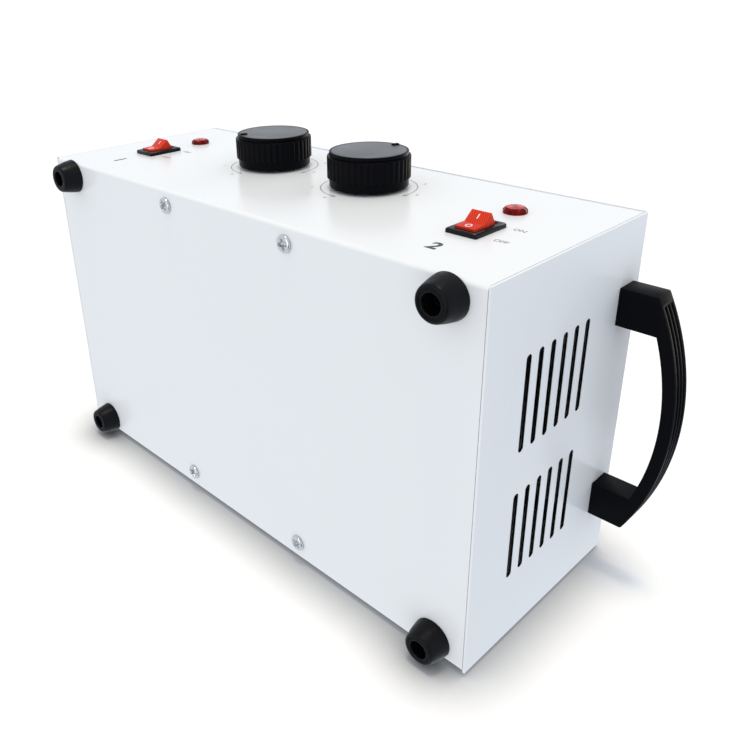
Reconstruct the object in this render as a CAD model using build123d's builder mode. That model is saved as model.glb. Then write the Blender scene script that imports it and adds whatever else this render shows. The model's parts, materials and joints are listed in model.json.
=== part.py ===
from build123d import *
import os
from math import asin, cos, radians, sin, tan

# Double wax warmer. A folded steel case on four rubber feet carries two heated
# wells with a lift-out wax pot and lid in each, and one knob, rocker switch and
# lamp for each well on the front. Millimetres, Z up, front panel towards -Y.

# Case
case_width = 300.0
case_depth = 175.0
case_height = 115.0
sheet = 1.0
bend = 1.8
seam = 0.3
lip = 12.0
lip_clear = 3.0
cover_screw_low = 30.0
cover_screw_pitch = 60.0

# Clearances: snug between fixed pieces, rest_gap where a loose piece rests, and
# how far a cut starts outside the piece that it opens
snug = 0.05
rest_gap = 0.3
cut_over = 5.0

# Feet
foot_height = 10.0
foot_base_r = 9.3
foot_tip_r = 7.2
foot_bore_r = 4.2
foot_bore_depth = 7.4
foot_edge = 0.8
foot_inset_x = 18.1
foot_shift_x = 0.9
foot_inset_y = 8.0
foot_screw_head_r = 3.0

# Knobs and thermostats
knob_pitch = 68.6
knob_shift = -1.35
knob_rise = 68.25
knob_gap = 1.0
knob_height = 16.8
knob_base_r = 19.0
knob_base_height = 4.2
knob_grip_r = 20.0
knob_grip_height = 10.4
knob_neck_r = 18.4
knob_neck_height = 0.7
knob_top_r = 18.9
knob_edge = 0.4
knob_recess_r = 12.0
knob_recess_depth = 3.4
knob_bore_depth = 11.0
groove_count = 40
groove_r = 0.55
cap_r = 17.9
cap_thick = 0.6
pointer_width = 2.4
pointer_length = 3.6
pointer_height = 0.8
pointer_angle = {"left": 245.0, "right": 80.0}
shaft_r = 3.0
shaft_flat = 2.4
shaft_fit = 0.05
shaft_seat = 10.0
bush_r = 5.0
bush_nut_flats = 14.0
bush_nut_height = 2.4
thermostat_width = 34.0
thermostat_height = 36.0
thermostat_depth = 18.0
thermostat_corner = 3.0

# Rocker switches
switch_pitch = 224.8
switch_shift = -2.1
switch_rise = 46.8
bezel_width = 15.0
bezel_length = 21.0
bezel_height = 2.0
bezel_edge = 0.6
switch_width = 13.0
switch_length = 19.6
switch_depth = 17.0
rocker_width = 9.5
rocker_half_length = 6.0
rocker_side_gap = 0.35
rocker_end_gap = 0.45
rocker_valley = 4.6
rocker_pivot_depth = 1.2
rocker_face_angle = 18.0
rocker_tilt = 20.0
rocker_flare = 1.1
rocker_skirt = 6.0
rocker_root = 3.0
rocker_root_depth = 3.0
trunnion_r = 1.22
trunnion_fit = 0.08
trunnion_length = 1.0
tab_width = 4.8
tab_thick = 0.8
tab_length = 8.0
tab_pitch = 6.5
tab_count = 3

# Lamps
lamp_pitch = 223.6
lamp_shift = -3.1
lamp_rise = 77.2
lens_r = 5.25
lens_height = 2.6
lens_edge = 0.9
lens_stem_r = 3.6
lamp_body_r = 5.4
lamp_body_length = 20.0
lamp_stem_depth = 8.0

# Wells and heaters
well_pitch = 144.0
well_shift = 12.0
well_r = 54.0
well_wall = 1.2
well_depth = 64.0
well_corner = 5.0
flange_width = 6.0
flange_thick = 1.2
opening_gap = 0.6
heater_thick = 2.4
heater_height = 34.0
heater_rise = 9.0
clamp_gap = 8.0
clamp_lug = 10.0
clamp_lug_thick = 2.0
fuse_r = 2.2
fuse_length = 14.0
bulb_r = 2.6
bulb_length = 30.0
bulb_angle = 60.0
capillary_r = 0.9
capillary_rise = 12.0
capillary_run = 14.0

# Wax pots, bails and lids
pot_gap = 1.0
pot_wall = 1.2
pot_corner = 5.0
rim_rise = 14.0
rim_r = 1.9
ear_width = 10.0
ear_height = 7.8
ear_reach = 5.8
ear_wall = 1.5
ear_drop = 4.2
wire_r = 1.75
wire_gap = 0.3
bail_r = 61.5
bail_bend = 3.5
bail_stub = 3.2
lid_r = 56.6
lid_sheet = 0.8
lid_skirt = 2.6
lid_shoulder = 50.0
lid_rise = 7.0
lid_seat_r = 12.0
lid_dome_r = 120.0
lid_knob_r = 13.0
lid_knob_base_r = 8.0
lid_knob_neck_r = 6.5
lid_knob_height = 17.0
lid_knob_top = 8.0
lid_knob_crown = 2.0
lid_screw_bite = 9.0

# End handles
handle_post_pitch = 99.4
handle_post_length = 17.3
handle_drop = 6.3
handle_height = 12.4
handle_post_reach = 16.4
handle_reach = 31.0
handle_bow = 5.5
handle_edge = 0.6
handle_groove = 1.3
handle_groove_depth = 0.8
handle_groove_pitch = 2.9
handle_groove_length = 108.0
handle_groove_count = 3
handle_screw_bite = 10.0

# Cooling slots in each end
vent_count = 6
vent_pitch = 8.65
vent_rise = 28.2
vent_width = 3.6
vent_length = 43.0
vent_row_pitch = 63.0
vent_shift = 0.5

# Base tray, brackets and terminal block
tray_length = 240.0
tray_margin = 4.0
tray_thick = 0.8
tray_rise = 6.0
boss_r = 5.0
tray_screws_x = 87.5
tray_screw_inset = 8.75
tray_screw_shift_x = 4.25
tray_screw_shift_y = -0.75
bracket_width = 44.0
bracket_depth = 30.0
bracket_foot = 10.0
bracket_sheet = 1.2
block_length = 42.0
block_width = 17.0
block_height = 15.0
block_pitch = 10.0
block_poles = 4
block_bore_r = 2.0
block_bore_rise = 6.0
block_screw_r = 1.6

# Leads inside the case
lead_r = 1.3
lead_run = 14.0
lead_bite = 4.0
lead_lift = 6.0
lead_loop = 21.0
lead_offset = 10.0
lead_angle = 30.0
arc_share = 0.45

# Mains inlet on the back
inlet_rise = 40.0
inlet_flange = 2.5
inlet_flange_length = 50.0
inlet_flange_height = 27.0
inlet_flange_corner = 6.0
inlet_key = 4.0
inlet_body_length = 27.0
inlet_body_height = 19.6
inlet_depth = 25.0
inlet_wall = 1.4
inlet_cavity_depth = 17.0
inlet_screw_pitch = 40.0
pin_thick = 2.0
pin_width = 4.0
pin_length = 13.0
pin_pitch = 14.0
pin_earth_rise = 3.2

# Fasteners
m3_r = 1.45
m3_head_r = 3.0
m3_head = 1.9
m3_reach = 3.0
m4_r = 1.95
m4_head_r = 4.0
m4_head = 2.4
m4_nut_flats = 7.0
m4_nut = 3.2
m5_r = 2.4
m5_head_r = 4.6
m5_head = 3.0
clearance_hole = 0.25
thread_gap = 0.05
recess_arm = 0.9
recess_share = 0.55
head_round = 0.45

# Places worked out from the sizes above. The origin is under the middle of the
# whole part, so the case stands a little back from it.
front_reach = knob_gap + knob_height + pointer_height
case_y = (front_reach - inlet_flange) / 2
half_width = case_width / 2
front_y = case_y - case_depth / 2
back_y = case_y + case_depth / 2
floor_z = foot_height
inside_z = floor_z + sheet
top_z = foot_height + case_height
chassis_width = case_width - 2 * (sheet + seam)
chassis_height = case_height - sheet - seam
well_y = case_y + well_shift
well_bottom_z = top_z - well_depth - well_wall
flange_z = top_z + flange_thick
knob_z = floor_z + knob_rise
switch_z = floor_z + switch_rise
lamp_z = floor_z + lamp_rise
inlet_z = floor_z + inlet_rise
handle_z = top_z - handle_drop - handle_height
tray_z = inside_z + tray_rise
tray_top_z = tray_z + tray_thick
tray_width = case_depth - 2 * tray_margin
tray_screws_y = case_depth - 2 * tray_screw_inset
pot_r = well_r - well_wall - pot_gap
pot_bottom_z = top_z - well_depth + rest_gap
rim_z = top_z + rim_rise
pivot_z = rim_z - 2 * rim_r - ear_drop
lid_z = rim_z + rest_gap
lid_top_z = lid_z + lid_sheet + lid_rise
sides = (("left", -1), ("right", 1))
ends = (("front", -1), ("back", 1))
corners = [(name_x, name_y, sx, sy) for name_x, sx in sides for name_y, sy in ends]


def front_plane(x, z, out=0.0):
    """A plane on the front panel, seen from the front, moved outwards."""
    return Plane(origin=(x, front_y - out, z), x_dir=(1, 0, 0), z_dir=(0, -1, 0))


def back_plane(x, z, out=0.0):
    """A plane on the back panel, seen from behind, moved outwards."""
    return Plane(origin=(x, back_y + out, z), x_dir=(-1, 0, 0), z_dir=(0, 1, 0))


def end_plane(sx, y, z, out=0.0):
    """A plane on the left or right end panel, seen from outside."""
    return Plane(origin=(sx * (half_width + out), y, z), x_dir=(0, sx, 0), z_dir=(sx, 0, 0))


def save(piece, label):
    """Label a finished piece and write its file."""
    piece.part.label = label
    export_step(piece.part, f"parts/{label}.step")


def foot_place(sx, sy):
    """Centre of a foot in plan."""
    return foot_shift_x + sx * (half_width - foot_inset_x), case_y + sy * (case_depth / 2 - foot_inset_y)


def upright_plane(x, y):
    """A plane through a vertical axis, with its own Y along Z."""
    return Plane(origin=(x, y, 0), x_dir=(1, 0, 0), z_dir=(0, -1, 0))


def outward_plane(x, z):
    """A plane through an axis square to the front panel, with its own Y outwards."""
    return Plane(origin=(x, front_y, z), x_dir=(1, 0, 0), z_dir=(0, 0, -1))


def corners_at(profile, radius):
    """The corners of a profile at one distance from its axis, lowest first."""
    return profile.vertices().filter_by_position(Axis.X, radius - snug, radius + snug).sort_by(Axis.Y)


def spread(count, pitch):
    """Places along a line, evenly about its middle."""
    return [(index - (count - 1) / 2) * pitch for index in range(count)]


def soft_radii(points):
    """Bend radii along a line of points, as large as its straight runs allow."""
    stops = [Vector(*point) for point in points]
    runs = [after - before for before, after in zip(stops, stops[1:])]
    return [
        arc_share * min(before.length, after.length) / tan(radians(before.get_angle(after) / 2))
        for before, after in zip(runs, runs[1:])
    ]


def pan_head_screw(shank_r, shank, head_r, head):
    """A cross recess screw with its head above the origin and its shank below."""
    with BuildPart() as screw:
        with BuildSketch():
            Circle(head_r)
        extrude(amount=head)
        fillet(screw.edges().filter_by(GeomType.CIRCLE).sort_by(Axis.Z)[-1], head * head_round)
        with BuildSketch(Plane.XY.offset(head)):
            Rectangle(2 * head_r * recess_share, recess_arm)
            Rectangle(recess_arm, 2 * head_r * recess_share)
        extrude(amount=-head * recess_share, mode=Mode.SUBTRACT)
        with BuildSketch():
            Circle(shank_r)
        extrude(amount=-shank)
    return screw.part


def hex_nut(flats, height, bore_r):
    """A hexagon nut standing on the origin."""
    with BuildPart() as nut:
        with BuildSketch():
            RegularPolygon(flats / 2, 6, major_radius=False)
            Circle(bore_r, mode=Mode.SUBTRACT)
        extrude(amount=height)
    return nut.part


os.makedirs("parts", exist_ok=True)

# Chassis: front, bottom and back folded from one sheet, with a lip along each
# top edge
foot_points = [foot_place(sx, sy) for _, _, sx, sy in corners]
tray_screw_points = [
    (tray_screw_shift_x + sx * tray_screws_x / 2, case_y + tray_screw_shift_y + sy * tray_screws_y / 2)
    for _, _, sx, sy in corners
]
cover_screw_x = half_width - sheet - lip / 2
cover_screw_z = [floor_z + cover_screw_low, floor_z + cover_screw_low + cover_screw_pitch]
cover_screw_points = [(sx * cover_screw_x, z) for _, sx in sides for z in cover_screw_z]
with BuildPart() as chassis:
    with BuildSketch(Plane.YZ.offset(-chassis_width / 2)) as profile:
        with Locations((case_y, floor_z + chassis_height / 2)):
            Rectangle(case_depth, chassis_height)
        fillet(profile.vertices(), bend)
        with BuildSketch(mode=Mode.SUBTRACT) as hollow:
            with Locations((case_y, floor_z + chassis_height / 2)):
                Rectangle(case_depth - 2 * sheet, chassis_height - 2 * sheet)
            fillet(hollow.vertices(), bend - sheet)
        with Locations((case_y, floor_z + chassis_height)):
            Rectangle(case_depth - 2 * lip, 2 * cut_over, mode=Mode.SUBTRACT)
    extrude(amount=chassis_width)
    with BuildSketch(Plane.XY.offset(floor_z)):
        with Locations(*foot_points, *tray_screw_points):
            Circle(m4_r + clearance_hole)
    extrude(amount=sheet, mode=Mode.SUBTRACT)
    with BuildSketch(front_plane(0, 0)):
        with Locations(*[(knob_shift + sx * knob_pitch / 2, knob_z) for _, sx in sides]):
            Circle(bush_r + snug)
        with Locations(*[(lamp_shift + sx * lamp_pitch / 2, lamp_z) for _, sx in sides]):
            Circle(lens_stem_r + snug)
        with Locations(*[(switch_shift + sx * switch_pitch / 2, switch_z) for _, sx in sides]):
            Rectangle(switch_width + 2 * snug, switch_length + 2 * snug)
    extrude(amount=-sheet, mode=Mode.SUBTRACT)
    with BuildSketch(back_plane(0, 0)):
        with Locations(*cover_screw_points):
            Circle(m3_r + clearance_hole)
        with Locations((inlet_screw_pitch / 2, inlet_z), (-inlet_screw_pitch / 2, inlet_z)):
            Circle(m3_r + thread_gap)
        with Locations((0, inlet_z)):
            Rectangle(inlet_body_length + 2 * snug, inlet_body_height + 2 * snug)
    extrude(amount=-sheet, mode=Mode.SUBTRACT)
save(chassis, "chassis")

# Cover: top and both ends folded from one sheet, with the well openings, the
# cooling slots and a lip inside the front, back and bottom edge of each end
handle_screw_y = [case_y + sy * handle_post_pitch / 2 for sy in (-1, 1)]
handle_screw_z = handle_z + handle_height / 2
cover_top = top_z - sheet
lip_low = inside_z + lip_clear
lip_high = cover_top - sheet - lip_clear
lip_set_in = 2 * sheet + seam
with BuildPart() as cover:
    with BuildSketch(Plane.XZ.offset(-back_y)) as profile:
        with Locations((0, floor_z + case_height / 2)):
            Rectangle(case_width, case_height)
        fillet(profile.vertices().group_by(Axis.Y)[-1], bend)
        with BuildSketch(mode=Mode.SUBTRACT) as hollow:
            with Locations((0, floor_z + case_height / 2 - sheet)):
                Rectangle(case_width - 2 * sheet, case_height)
            fillet(hollow.vertices().group_by(Axis.Y)[-1], bend - sheet)
    extrude(amount=case_depth)
    with BuildSketch(Plane.XY.offset(top_z)):
        with Locations(*[(sx * well_pitch / 2, well_y) for _, sx in sides]):
            Circle(well_r + opening_gap)
    extrude(amount=-sheet, mode=Mode.SUBTRACT)
    for _, sx in sides:
        lip_x = sx * (half_width - sheet - lip / 2)
        with BuildSketch(Plane.XY.offset(lip_low)):
            with Locations(
                (lip_x, front_y + lip_set_in - sheet / 2),
                (lip_x, back_y - lip_set_in + sheet / 2),
            ):
                Rectangle(lip, sheet)
        extrude(amount=lip_high - lip_low)
        with BuildSketch(Plane.XY.offset(inside_z + seam)):
            with Locations((lip_x, case_y)):
                Rectangle(lip, case_depth - 2 * (lip_set_in + lip_clear))
        extrude(amount=sheet)
        with BuildSketch(end_plane(sx, 0, 0)):
            with Locations(*[(sx * y, handle_screw_z) for y in handle_screw_y]):
                Circle(m5_r + clearance_hole)
            for row in (-1, 1):
                vent_y = case_y + vent_shift + row * vent_row_pitch / 2
                for index in range(vent_count):
                    with Locations((sx * vent_y, floor_z + vent_rise + index * vent_pitch)):
                        SlotOverall(vent_length, vent_width)
        extrude(amount=-sheet, mode=Mode.SUBTRACT)
    with BuildSketch(back_plane(0, 0, -sheet - seam)):
        with Locations(*cover_screw_points):
            Circle(m3_r + thread_gap)
    extrude(amount=-sheet, mode=Mode.SUBTRACT)
save(cover, "cover")

# Four rubber feet, each held by a screw in its bore and a nut inside the case
for name_x, name_y, sx, sy in corners:
    x, y = foot_place(sx, sy)
    with BuildPart() as foot:
        with BuildSketch(upright_plane(x, y)) as profile:
            with BuildLine():
                Polyline(
                    (m4_r + clearance_hole, foot_bore_depth),
                    (foot_bore_r, foot_bore_depth),
                    (foot_bore_r, 0),
                    (foot_tip_r, 0),
                    (foot_base_r, foot_height),
                    (m4_r + clearance_hole, foot_height),
                    close=True,
                )
            make_face()
            fillet(corners_at(profile, foot_tip_r), foot_edge)
        revolve(axis=Axis((x, y, 0), (0, 0, 1)))
    save(foot, f"foot_{name_y}_{name_x}")

foot_screw_reach = foot_height - foot_bore_depth + sheet + m4_nut
foot_screw = pan_head_screw(m4_r, foot_screw_reach, foot_screw_head_r, m4_head)
with BuildPart() as foot_screws:
    with Locations(*[Plane(origin=(x, y, foot_bore_depth), z_dir=(0, 0, -1)) for x, y in foot_points]):
        add(foot_screw)
save(foot_screws, "foot_screws")

with BuildPart() as foot_nuts:
    with Locations(*[Plane(origin=(x, y, inside_z)) for x, y in foot_points]):
        add(hex_nut(m4_nut_flats, m4_nut, m4_r + thread_gap))
save(foot_nuts, "foot_nuts")

# Base tray on four bosses, held from below by four chrome screws
with BuildPart() as base_tray:
    with BuildSketch(Plane.XY.offset(tray_z)) as plate:
        with Locations((0, case_y)):
            Rectangle(tray_length, tray_width)
        fillet(plate.vertices(), boss_r)
    extrude(amount=tray_thick)
    with BuildSketch(Plane.XY.offset(inside_z)):
        with Locations(*tray_screw_points):
            Circle(boss_r)
    extrude(amount=tray_rise)
    with BuildSketch(Plane.XY.offset(inside_z)):
        with Locations(*tray_screw_points):
            Circle(m4_r + thread_gap)
    extrude(amount=tray_rise + tray_thick, mode=Mode.SUBTRACT)
save(base_tray, "base_tray")

with BuildPart() as base_screws:
    with Locations(*[Plane(origin=(x, y, floor_z), z_dir=(0, 0, -1)) for x, y in tray_screw_points]):
        add(pan_head_screw(m4_r, sheet + tray_rise, m4_head_r, m4_head))
save(base_screws, "base_screws")

with BuildPart() as cover_screws:
    with Locations(*[back_plane(-x, z) for x, z in cover_screw_points]):
        add(pan_head_screw(m3_r, m3_reach, m3_head_r, m3_head))
save(cover_screws, "cover_screws")

# Bow handles, each screwed on from inside the case
arc_sagitta = handle_reach - handle_post_reach
post_outer = (handle_post_pitch + handle_post_length) / 2
post_inner = (handle_post_pitch - handle_post_length) / 2
bow_r = (post_outer**2 + arc_sagitta**2) / (2 * arc_sagitta)
inner_r = bow_r - handle_bow
inner_reach = handle_reach - bow_r + (inner_r**2 - post_inner**2) ** 0.5
handle_screw = pan_head_screw(m5_r, sheet + handle_screw_bite, m5_head_r, m5_head)
for side, sx in sides:
    bow_plane = Plane(origin=(sx * half_width, case_y, handle_z), x_dir=(sx, 0, 0), z_dir=(0, 0, 1))
    with BuildPart() as handle:
        with BuildSketch(bow_plane):
            with BuildLine():
                Polyline(
                    (inner_reach, -post_inner),
                    (0, -post_inner),
                    (0, -post_outer),
                    (handle_post_reach, -post_outer),
                )
                ThreePointArc(
                    (handle_post_reach, -post_outer), (handle_reach, 0), (handle_post_reach, post_outer)
                )
                Polyline(
                    (handle_post_reach, post_outer),
                    (0, post_outer),
                    (0, post_inner),
                    (inner_reach, post_inner),
                )
                ThreePointArc(
                    (inner_reach, post_inner), (handle_reach - handle_bow, 0), (inner_reach, -post_inner)
                )
            make_face()
        extrude(amount=handle_height)
        rims = handle.edges().filter_by(lambda edge: abs(edge.center().Z - handle_z) < snug)
        rims += handle.edges().filter_by(lambda edge: abs(edge.center().Z - handle_z - handle_height) < snug)
        outer_rims = rims.filter_by(GeomType.CIRCLE).filter_by(lambda edge: edge.radius > bow_r - snug)
        chamfer(outer_rims, handle_edge)
        for offset in spread(handle_groove_count, handle_groove_pitch):
            with BuildSketch(bow_plane.offset((handle_height - handle_groove) / 2 + offset)):
                with Locations((handle_reach - bow_r, 0)):
                    Circle(bow_r + cut_over)
                    Circle(bow_r - handle_groove_depth, mode=Mode.SUBTRACT)
                with Locations((handle_reach, 0)):
                    Rectangle(2 * arc_sagitta, handle_groove_length, mode=Mode.INTERSECT)
            extrude(amount=handle_groove, mode=Mode.SUBTRACT)
        with BuildSketch(end_plane(sx, case_y, handle_screw_z)):
            with Locations((-handle_post_pitch / 2, 0), (handle_post_pitch / 2, 0)):
                Circle(m5_r + thread_gap)
        extrude(amount=handle_screw_bite, mode=Mode.SUBTRACT)
    save(handle, f"handle_{side}")

with BuildPart() as handle_screws:
    for _, sx in sides:
        for y in handle_screw_y:
            head_seat = Plane(origin=(sx * (half_width - sheet), y, handle_screw_z), z_dir=(-sx, 0, 0))
            with Locations(head_seat):
                add(handle_screw)
save(handle_screws, "handle_screws")

# Heated wells: a spun aluminium cup hung by its flange in each opening, with a
# band heater, its clamp screw, a thermal fuse and a bracket under it
heater_z = well_bottom_z + heater_rise
band_r = well_r + snug + heater_thick
lug_y = band_r + clamp_lug / 2
fuse_z = heater_z + (heater_height - fuse_length) / 2
for side, sx in sides:
    x = sx * well_pitch / 2
    axis = Axis((x, well_y, 0), (0, 0, 1))
    with BuildPart() as well:
        with BuildSketch(upright_plane(x, well_y)) as profile:
            with BuildLine():
                Polyline(
                    (0, well_bottom_z),
                    (well_r, well_bottom_z),
                    (well_r, top_z),
                    (well_r + flange_width, top_z),
                    (well_r + flange_width, flange_z),
                    (well_r - well_wall, flange_z),
                    (well_r - well_wall, well_bottom_z + well_wall),
                    (0, well_bottom_z + well_wall),
                    close=True,
                )
            make_face()
            fillet(corners_at(profile, well_r)[0], well_corner)
            fillet(corners_at(profile, well_r - well_wall)[0], well_corner - well_wall)
        revolve(axis=axis)
    save(well, f"well_{side}")

    with BuildPart() as heater:
        with BuildSketch(Plane(origin=(x, well_y, heater_z))):
            Circle(band_r)
            Circle(well_r + snug, mode=Mode.SUBTRACT)
            with Locations((0, band_r)):
                Rectangle(clamp_gap, 2 * cut_over, mode=Mode.SUBTRACT)
            for lug in (-1, 1):
                with Locations((lug * (clamp_gap + clamp_lug_thick) / 2, lug_y - heater_thick / 2)):
                    Rectangle(clamp_lug_thick, clamp_lug + heater_thick)
        extrude(amount=heater_height)
        with BuildSketch(Plane.YZ.offset(x - clamp_gap)):
            with Locations((well_y + lug_y, heater_z + heater_height / 2)):
                Circle(m4_r + clearance_hole)
        extrude(amount=2 * clamp_gap, mode=Mode.SUBTRACT)
    save(heater, f"heater_{side}")

    with BuildPart() as bracket:
        with BuildSketch(Plane.XZ.offset(-well_y - bracket_depth / 2)):
            with Locations((x, well_bottom_z - bracket_sheet / 2)):
                Rectangle(bracket_width, bracket_sheet)
            for leg in (-1, 1):
                leg_x = x + leg * (bracket_width - bracket_sheet) / 2
                with Locations((leg_x, (tray_top_z + well_bottom_z) / 2)):
                    Rectangle(bracket_sheet, well_bottom_z - tray_top_z)
                with Locations((leg_x + leg * bracket_foot / 2, tray_top_z + bracket_sheet / 2)):
                    Rectangle(bracket_foot, bracket_sheet)
        extrude(amount=bracket_depth)
    save(bracket, f"well_bracket_{side}")

    fuse_x = x - sx * (band_r + snug + fuse_r)
    with BuildPart() as fuse:
        with BuildSketch(Plane(origin=(fuse_x, well_y, fuse_z))):
            Circle(fuse_r)
        extrude(amount=fuse_length)
    save(fuse, f"thermal_fuse_{side}")

clamp_shank = clamp_gap + 2 * clamp_lug_thick
with BuildPart() as clamp_screws:
    for _, sx in sides:
        near = sx * well_pitch / 2 + clamp_shank / 2
        height = heater_z + heater_height / 2
        with Locations(Plane(origin=(near, well_y + lug_y, height), z_dir=(1, 0, 0))):
            add(pan_head_screw(m4_r, clamp_shank + m4_nut, m4_head_r, m4_head))
        with Locations(Plane(origin=(near - clamp_shank, well_y + lug_y, height), z_dir=(-1, 0, 0))):
            add(hex_nut(m4_nut_flats, m4_nut, m4_r + thread_gap))
save(clamp_screws, "clamp_screws")

# Wax pots that lift out, with riveted ears, a wire bail and a lid
rest_drop = asin((pivot_z - top_z - wire_r - wire_gap) / (bail_r + bail_bend))
crown_r = (lid_knob_r**2 + lid_knob_crown**2) / (2 * lid_knob_crown)
crown_drop = crown_r - (crown_r**2 - (lid_knob_r / 2) ** 2) ** 0.5
for side, sx in sides:
    x = sx * well_pitch / 2
    axis = Axis((x, well_y, 0), (0, 0, 1))
    with BuildPart() as pot:
        with BuildSketch(upright_plane(x, well_y)) as profile:
            with BuildLine():
                Polyline(
                    (0, pot_bottom_z),
                    (pot_r, pot_bottom_z),
                    (pot_r, rim_z - rim_r),
                    (pot_r - pot_wall, rim_z - rim_r),
                    (pot_r - pot_wall, pot_bottom_z + pot_wall),
                    (0, pot_bottom_z + pot_wall),
                    close=True,
                )
            make_face()
            fillet(corners_at(profile, pot_r)[0], pot_corner)
            fillet(corners_at(profile, pot_r - pot_wall)[0], pot_corner - pot_wall)
            with Locations((pot_r - pot_wall + rim_r, rim_z - rim_r)):
                Circle(rim_r)
        revolve(axis=axis)
    save(pot, f"pot_{side}")

    with BuildPart() as ears:
        for ear in (-1, 1):
            with BuildSketch(Plane(origin=(x, well_y, pivot_z - ear_height / 2))):
                with Locations((ear * (pot_r + ear_reach) / 2, 0)):
                    Rectangle(pot_r + ear_reach, ear_width)
                Circle(pot_r + snug, mode=Mode.SUBTRACT)
                with Locations((ear * (pot_r + ear_reach / 2), 0)):
                    Rectangle(ear_reach - 2 * ear_wall, ear_width - 2 * ear_wall, mode=Mode.SUBTRACT)
            extrude(amount=ear_height)
            with BuildSketch(Plane.YZ.offset(x + ear * (pot_r + ear_reach - ear_wall))):
                with Locations((well_y, pivot_z)):
                    Circle(wire_r + wire_gap)
            extrude(amount=ear * ear_wall, mode=Mode.SUBTRACT)
    save(ears, f"pot_ears_{side}")

    stub_start = bail_r - bail_bend - bail_stub
    bail_plane = Plane(
        origin=(x, well_y, pivot_z), x_dir=(1, 0, 0), z_dir=(0, -sin(rest_drop), cos(rest_drop))
    )
    with BuildPart() as bail:
        with BuildLine(bail_plane) as route:
            stub = Line((-stub_start, 0), (-stub_start - bail_stub, 0))
            turn = JernArc(stub @ 1, stub % 1, bail_bend, 90)
            bow = JernArc(turn @ 1, turn % 1, bail_r, 180)
            back_turn = JernArc(bow @ 1, bow % 1, bail_bend, 90)
            Line(back_turn @ 1, back_turn @ 1 + (back_turn % 1) * bail_stub)
        with BuildSketch(Plane(origin=route.wire() @ 0, z_dir=route.wire() % 0)):
            Circle(wire_r)
        sweep(path=route.wire())
    save(bail, f"bail_{side}")

    with BuildPart() as lid:
        with BuildSketch(upright_plane(x, well_y)) as profile:
            with BuildLine():
                Polyline(
                    (m4_r + clearance_hole, lid_top_z - lid_sheet),
                    (m4_r + clearance_hole, lid_top_z),
                    (lid_seat_r, lid_top_z),
                )
                RadiusArc((lid_seat_r, lid_top_z), (lid_shoulder, lid_z + lid_sheet), lid_dome_r)
                Polyline(
                    (lid_shoulder, lid_z + lid_sheet),
                    (lid_r, lid_z + lid_sheet),
                    (lid_r, lid_z - lid_skirt),
                    (lid_r - lid_sheet, lid_z - lid_skirt),
                    (lid_r - lid_sheet, lid_z),
                    (lid_shoulder, lid_z),
                )
                RadiusArc((lid_shoulder, lid_z), (lid_seat_r, lid_top_z - lid_sheet), -lid_dome_r)
                Line((lid_seat_r, lid_top_z - lid_sheet), (m4_r + clearance_hole, lid_top_z - lid_sheet))
            make_face()
        revolve(axis=axis)
    save(lid, f"lid_{side}")

    with BuildPart() as lid_knob:
        with BuildSketch(upright_plane(x, well_y)) as profile:
            with BuildLine():
                Line((0, lid_top_z), (lid_knob_base_r, lid_top_z))
                neck = (lid_knob_neck_r, lid_top_z + (lid_knob_height - lid_knob_top) / 2)
                ThreePointArc(
                    (lid_knob_base_r, lid_top_z),
                    neck,
                    (lid_knob_base_r, lid_top_z + lid_knob_height - lid_knob_top),
                )
                Polyline(
                    (lid_knob_base_r, lid_top_z + lid_knob_height - lid_knob_top),
                    (lid_knob_r, lid_top_z + lid_knob_height - lid_knob_top / 2),
                    (lid_knob_r, lid_top_z + lid_knob_height - lid_knob_crown),
                )
                ThreePointArc(
                    (lid_knob_r, lid_top_z + lid_knob_height - lid_knob_crown),
                    (lid_knob_r / 2, lid_top_z + lid_knob_height - crown_drop),
                    (0, lid_top_z + lid_knob_height),
                )
                Line((0, lid_top_z + lid_knob_height), (0, lid_top_z))
            make_face()
        revolve(axis=axis)
        with BuildSketch(Plane(origin=(x, well_y, lid_top_z))):
            Circle(m4_r + thread_gap)
        extrude(amount=lid_screw_bite, mode=Mode.SUBTRACT)
    save(lid_knob, f"lid_knob_{side}")

    with BuildPart() as lid_screw:
        with Locations(Plane(origin=(x, well_y, lid_top_z - lid_sheet), z_dir=(0, 0, -1))):
            add(pan_head_screw(m4_r, lid_sheet + lid_screw_bite - rest_gap, m4_head_r, m4_head))
    save(lid_screw, f"lid_screw_{side}")

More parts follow.
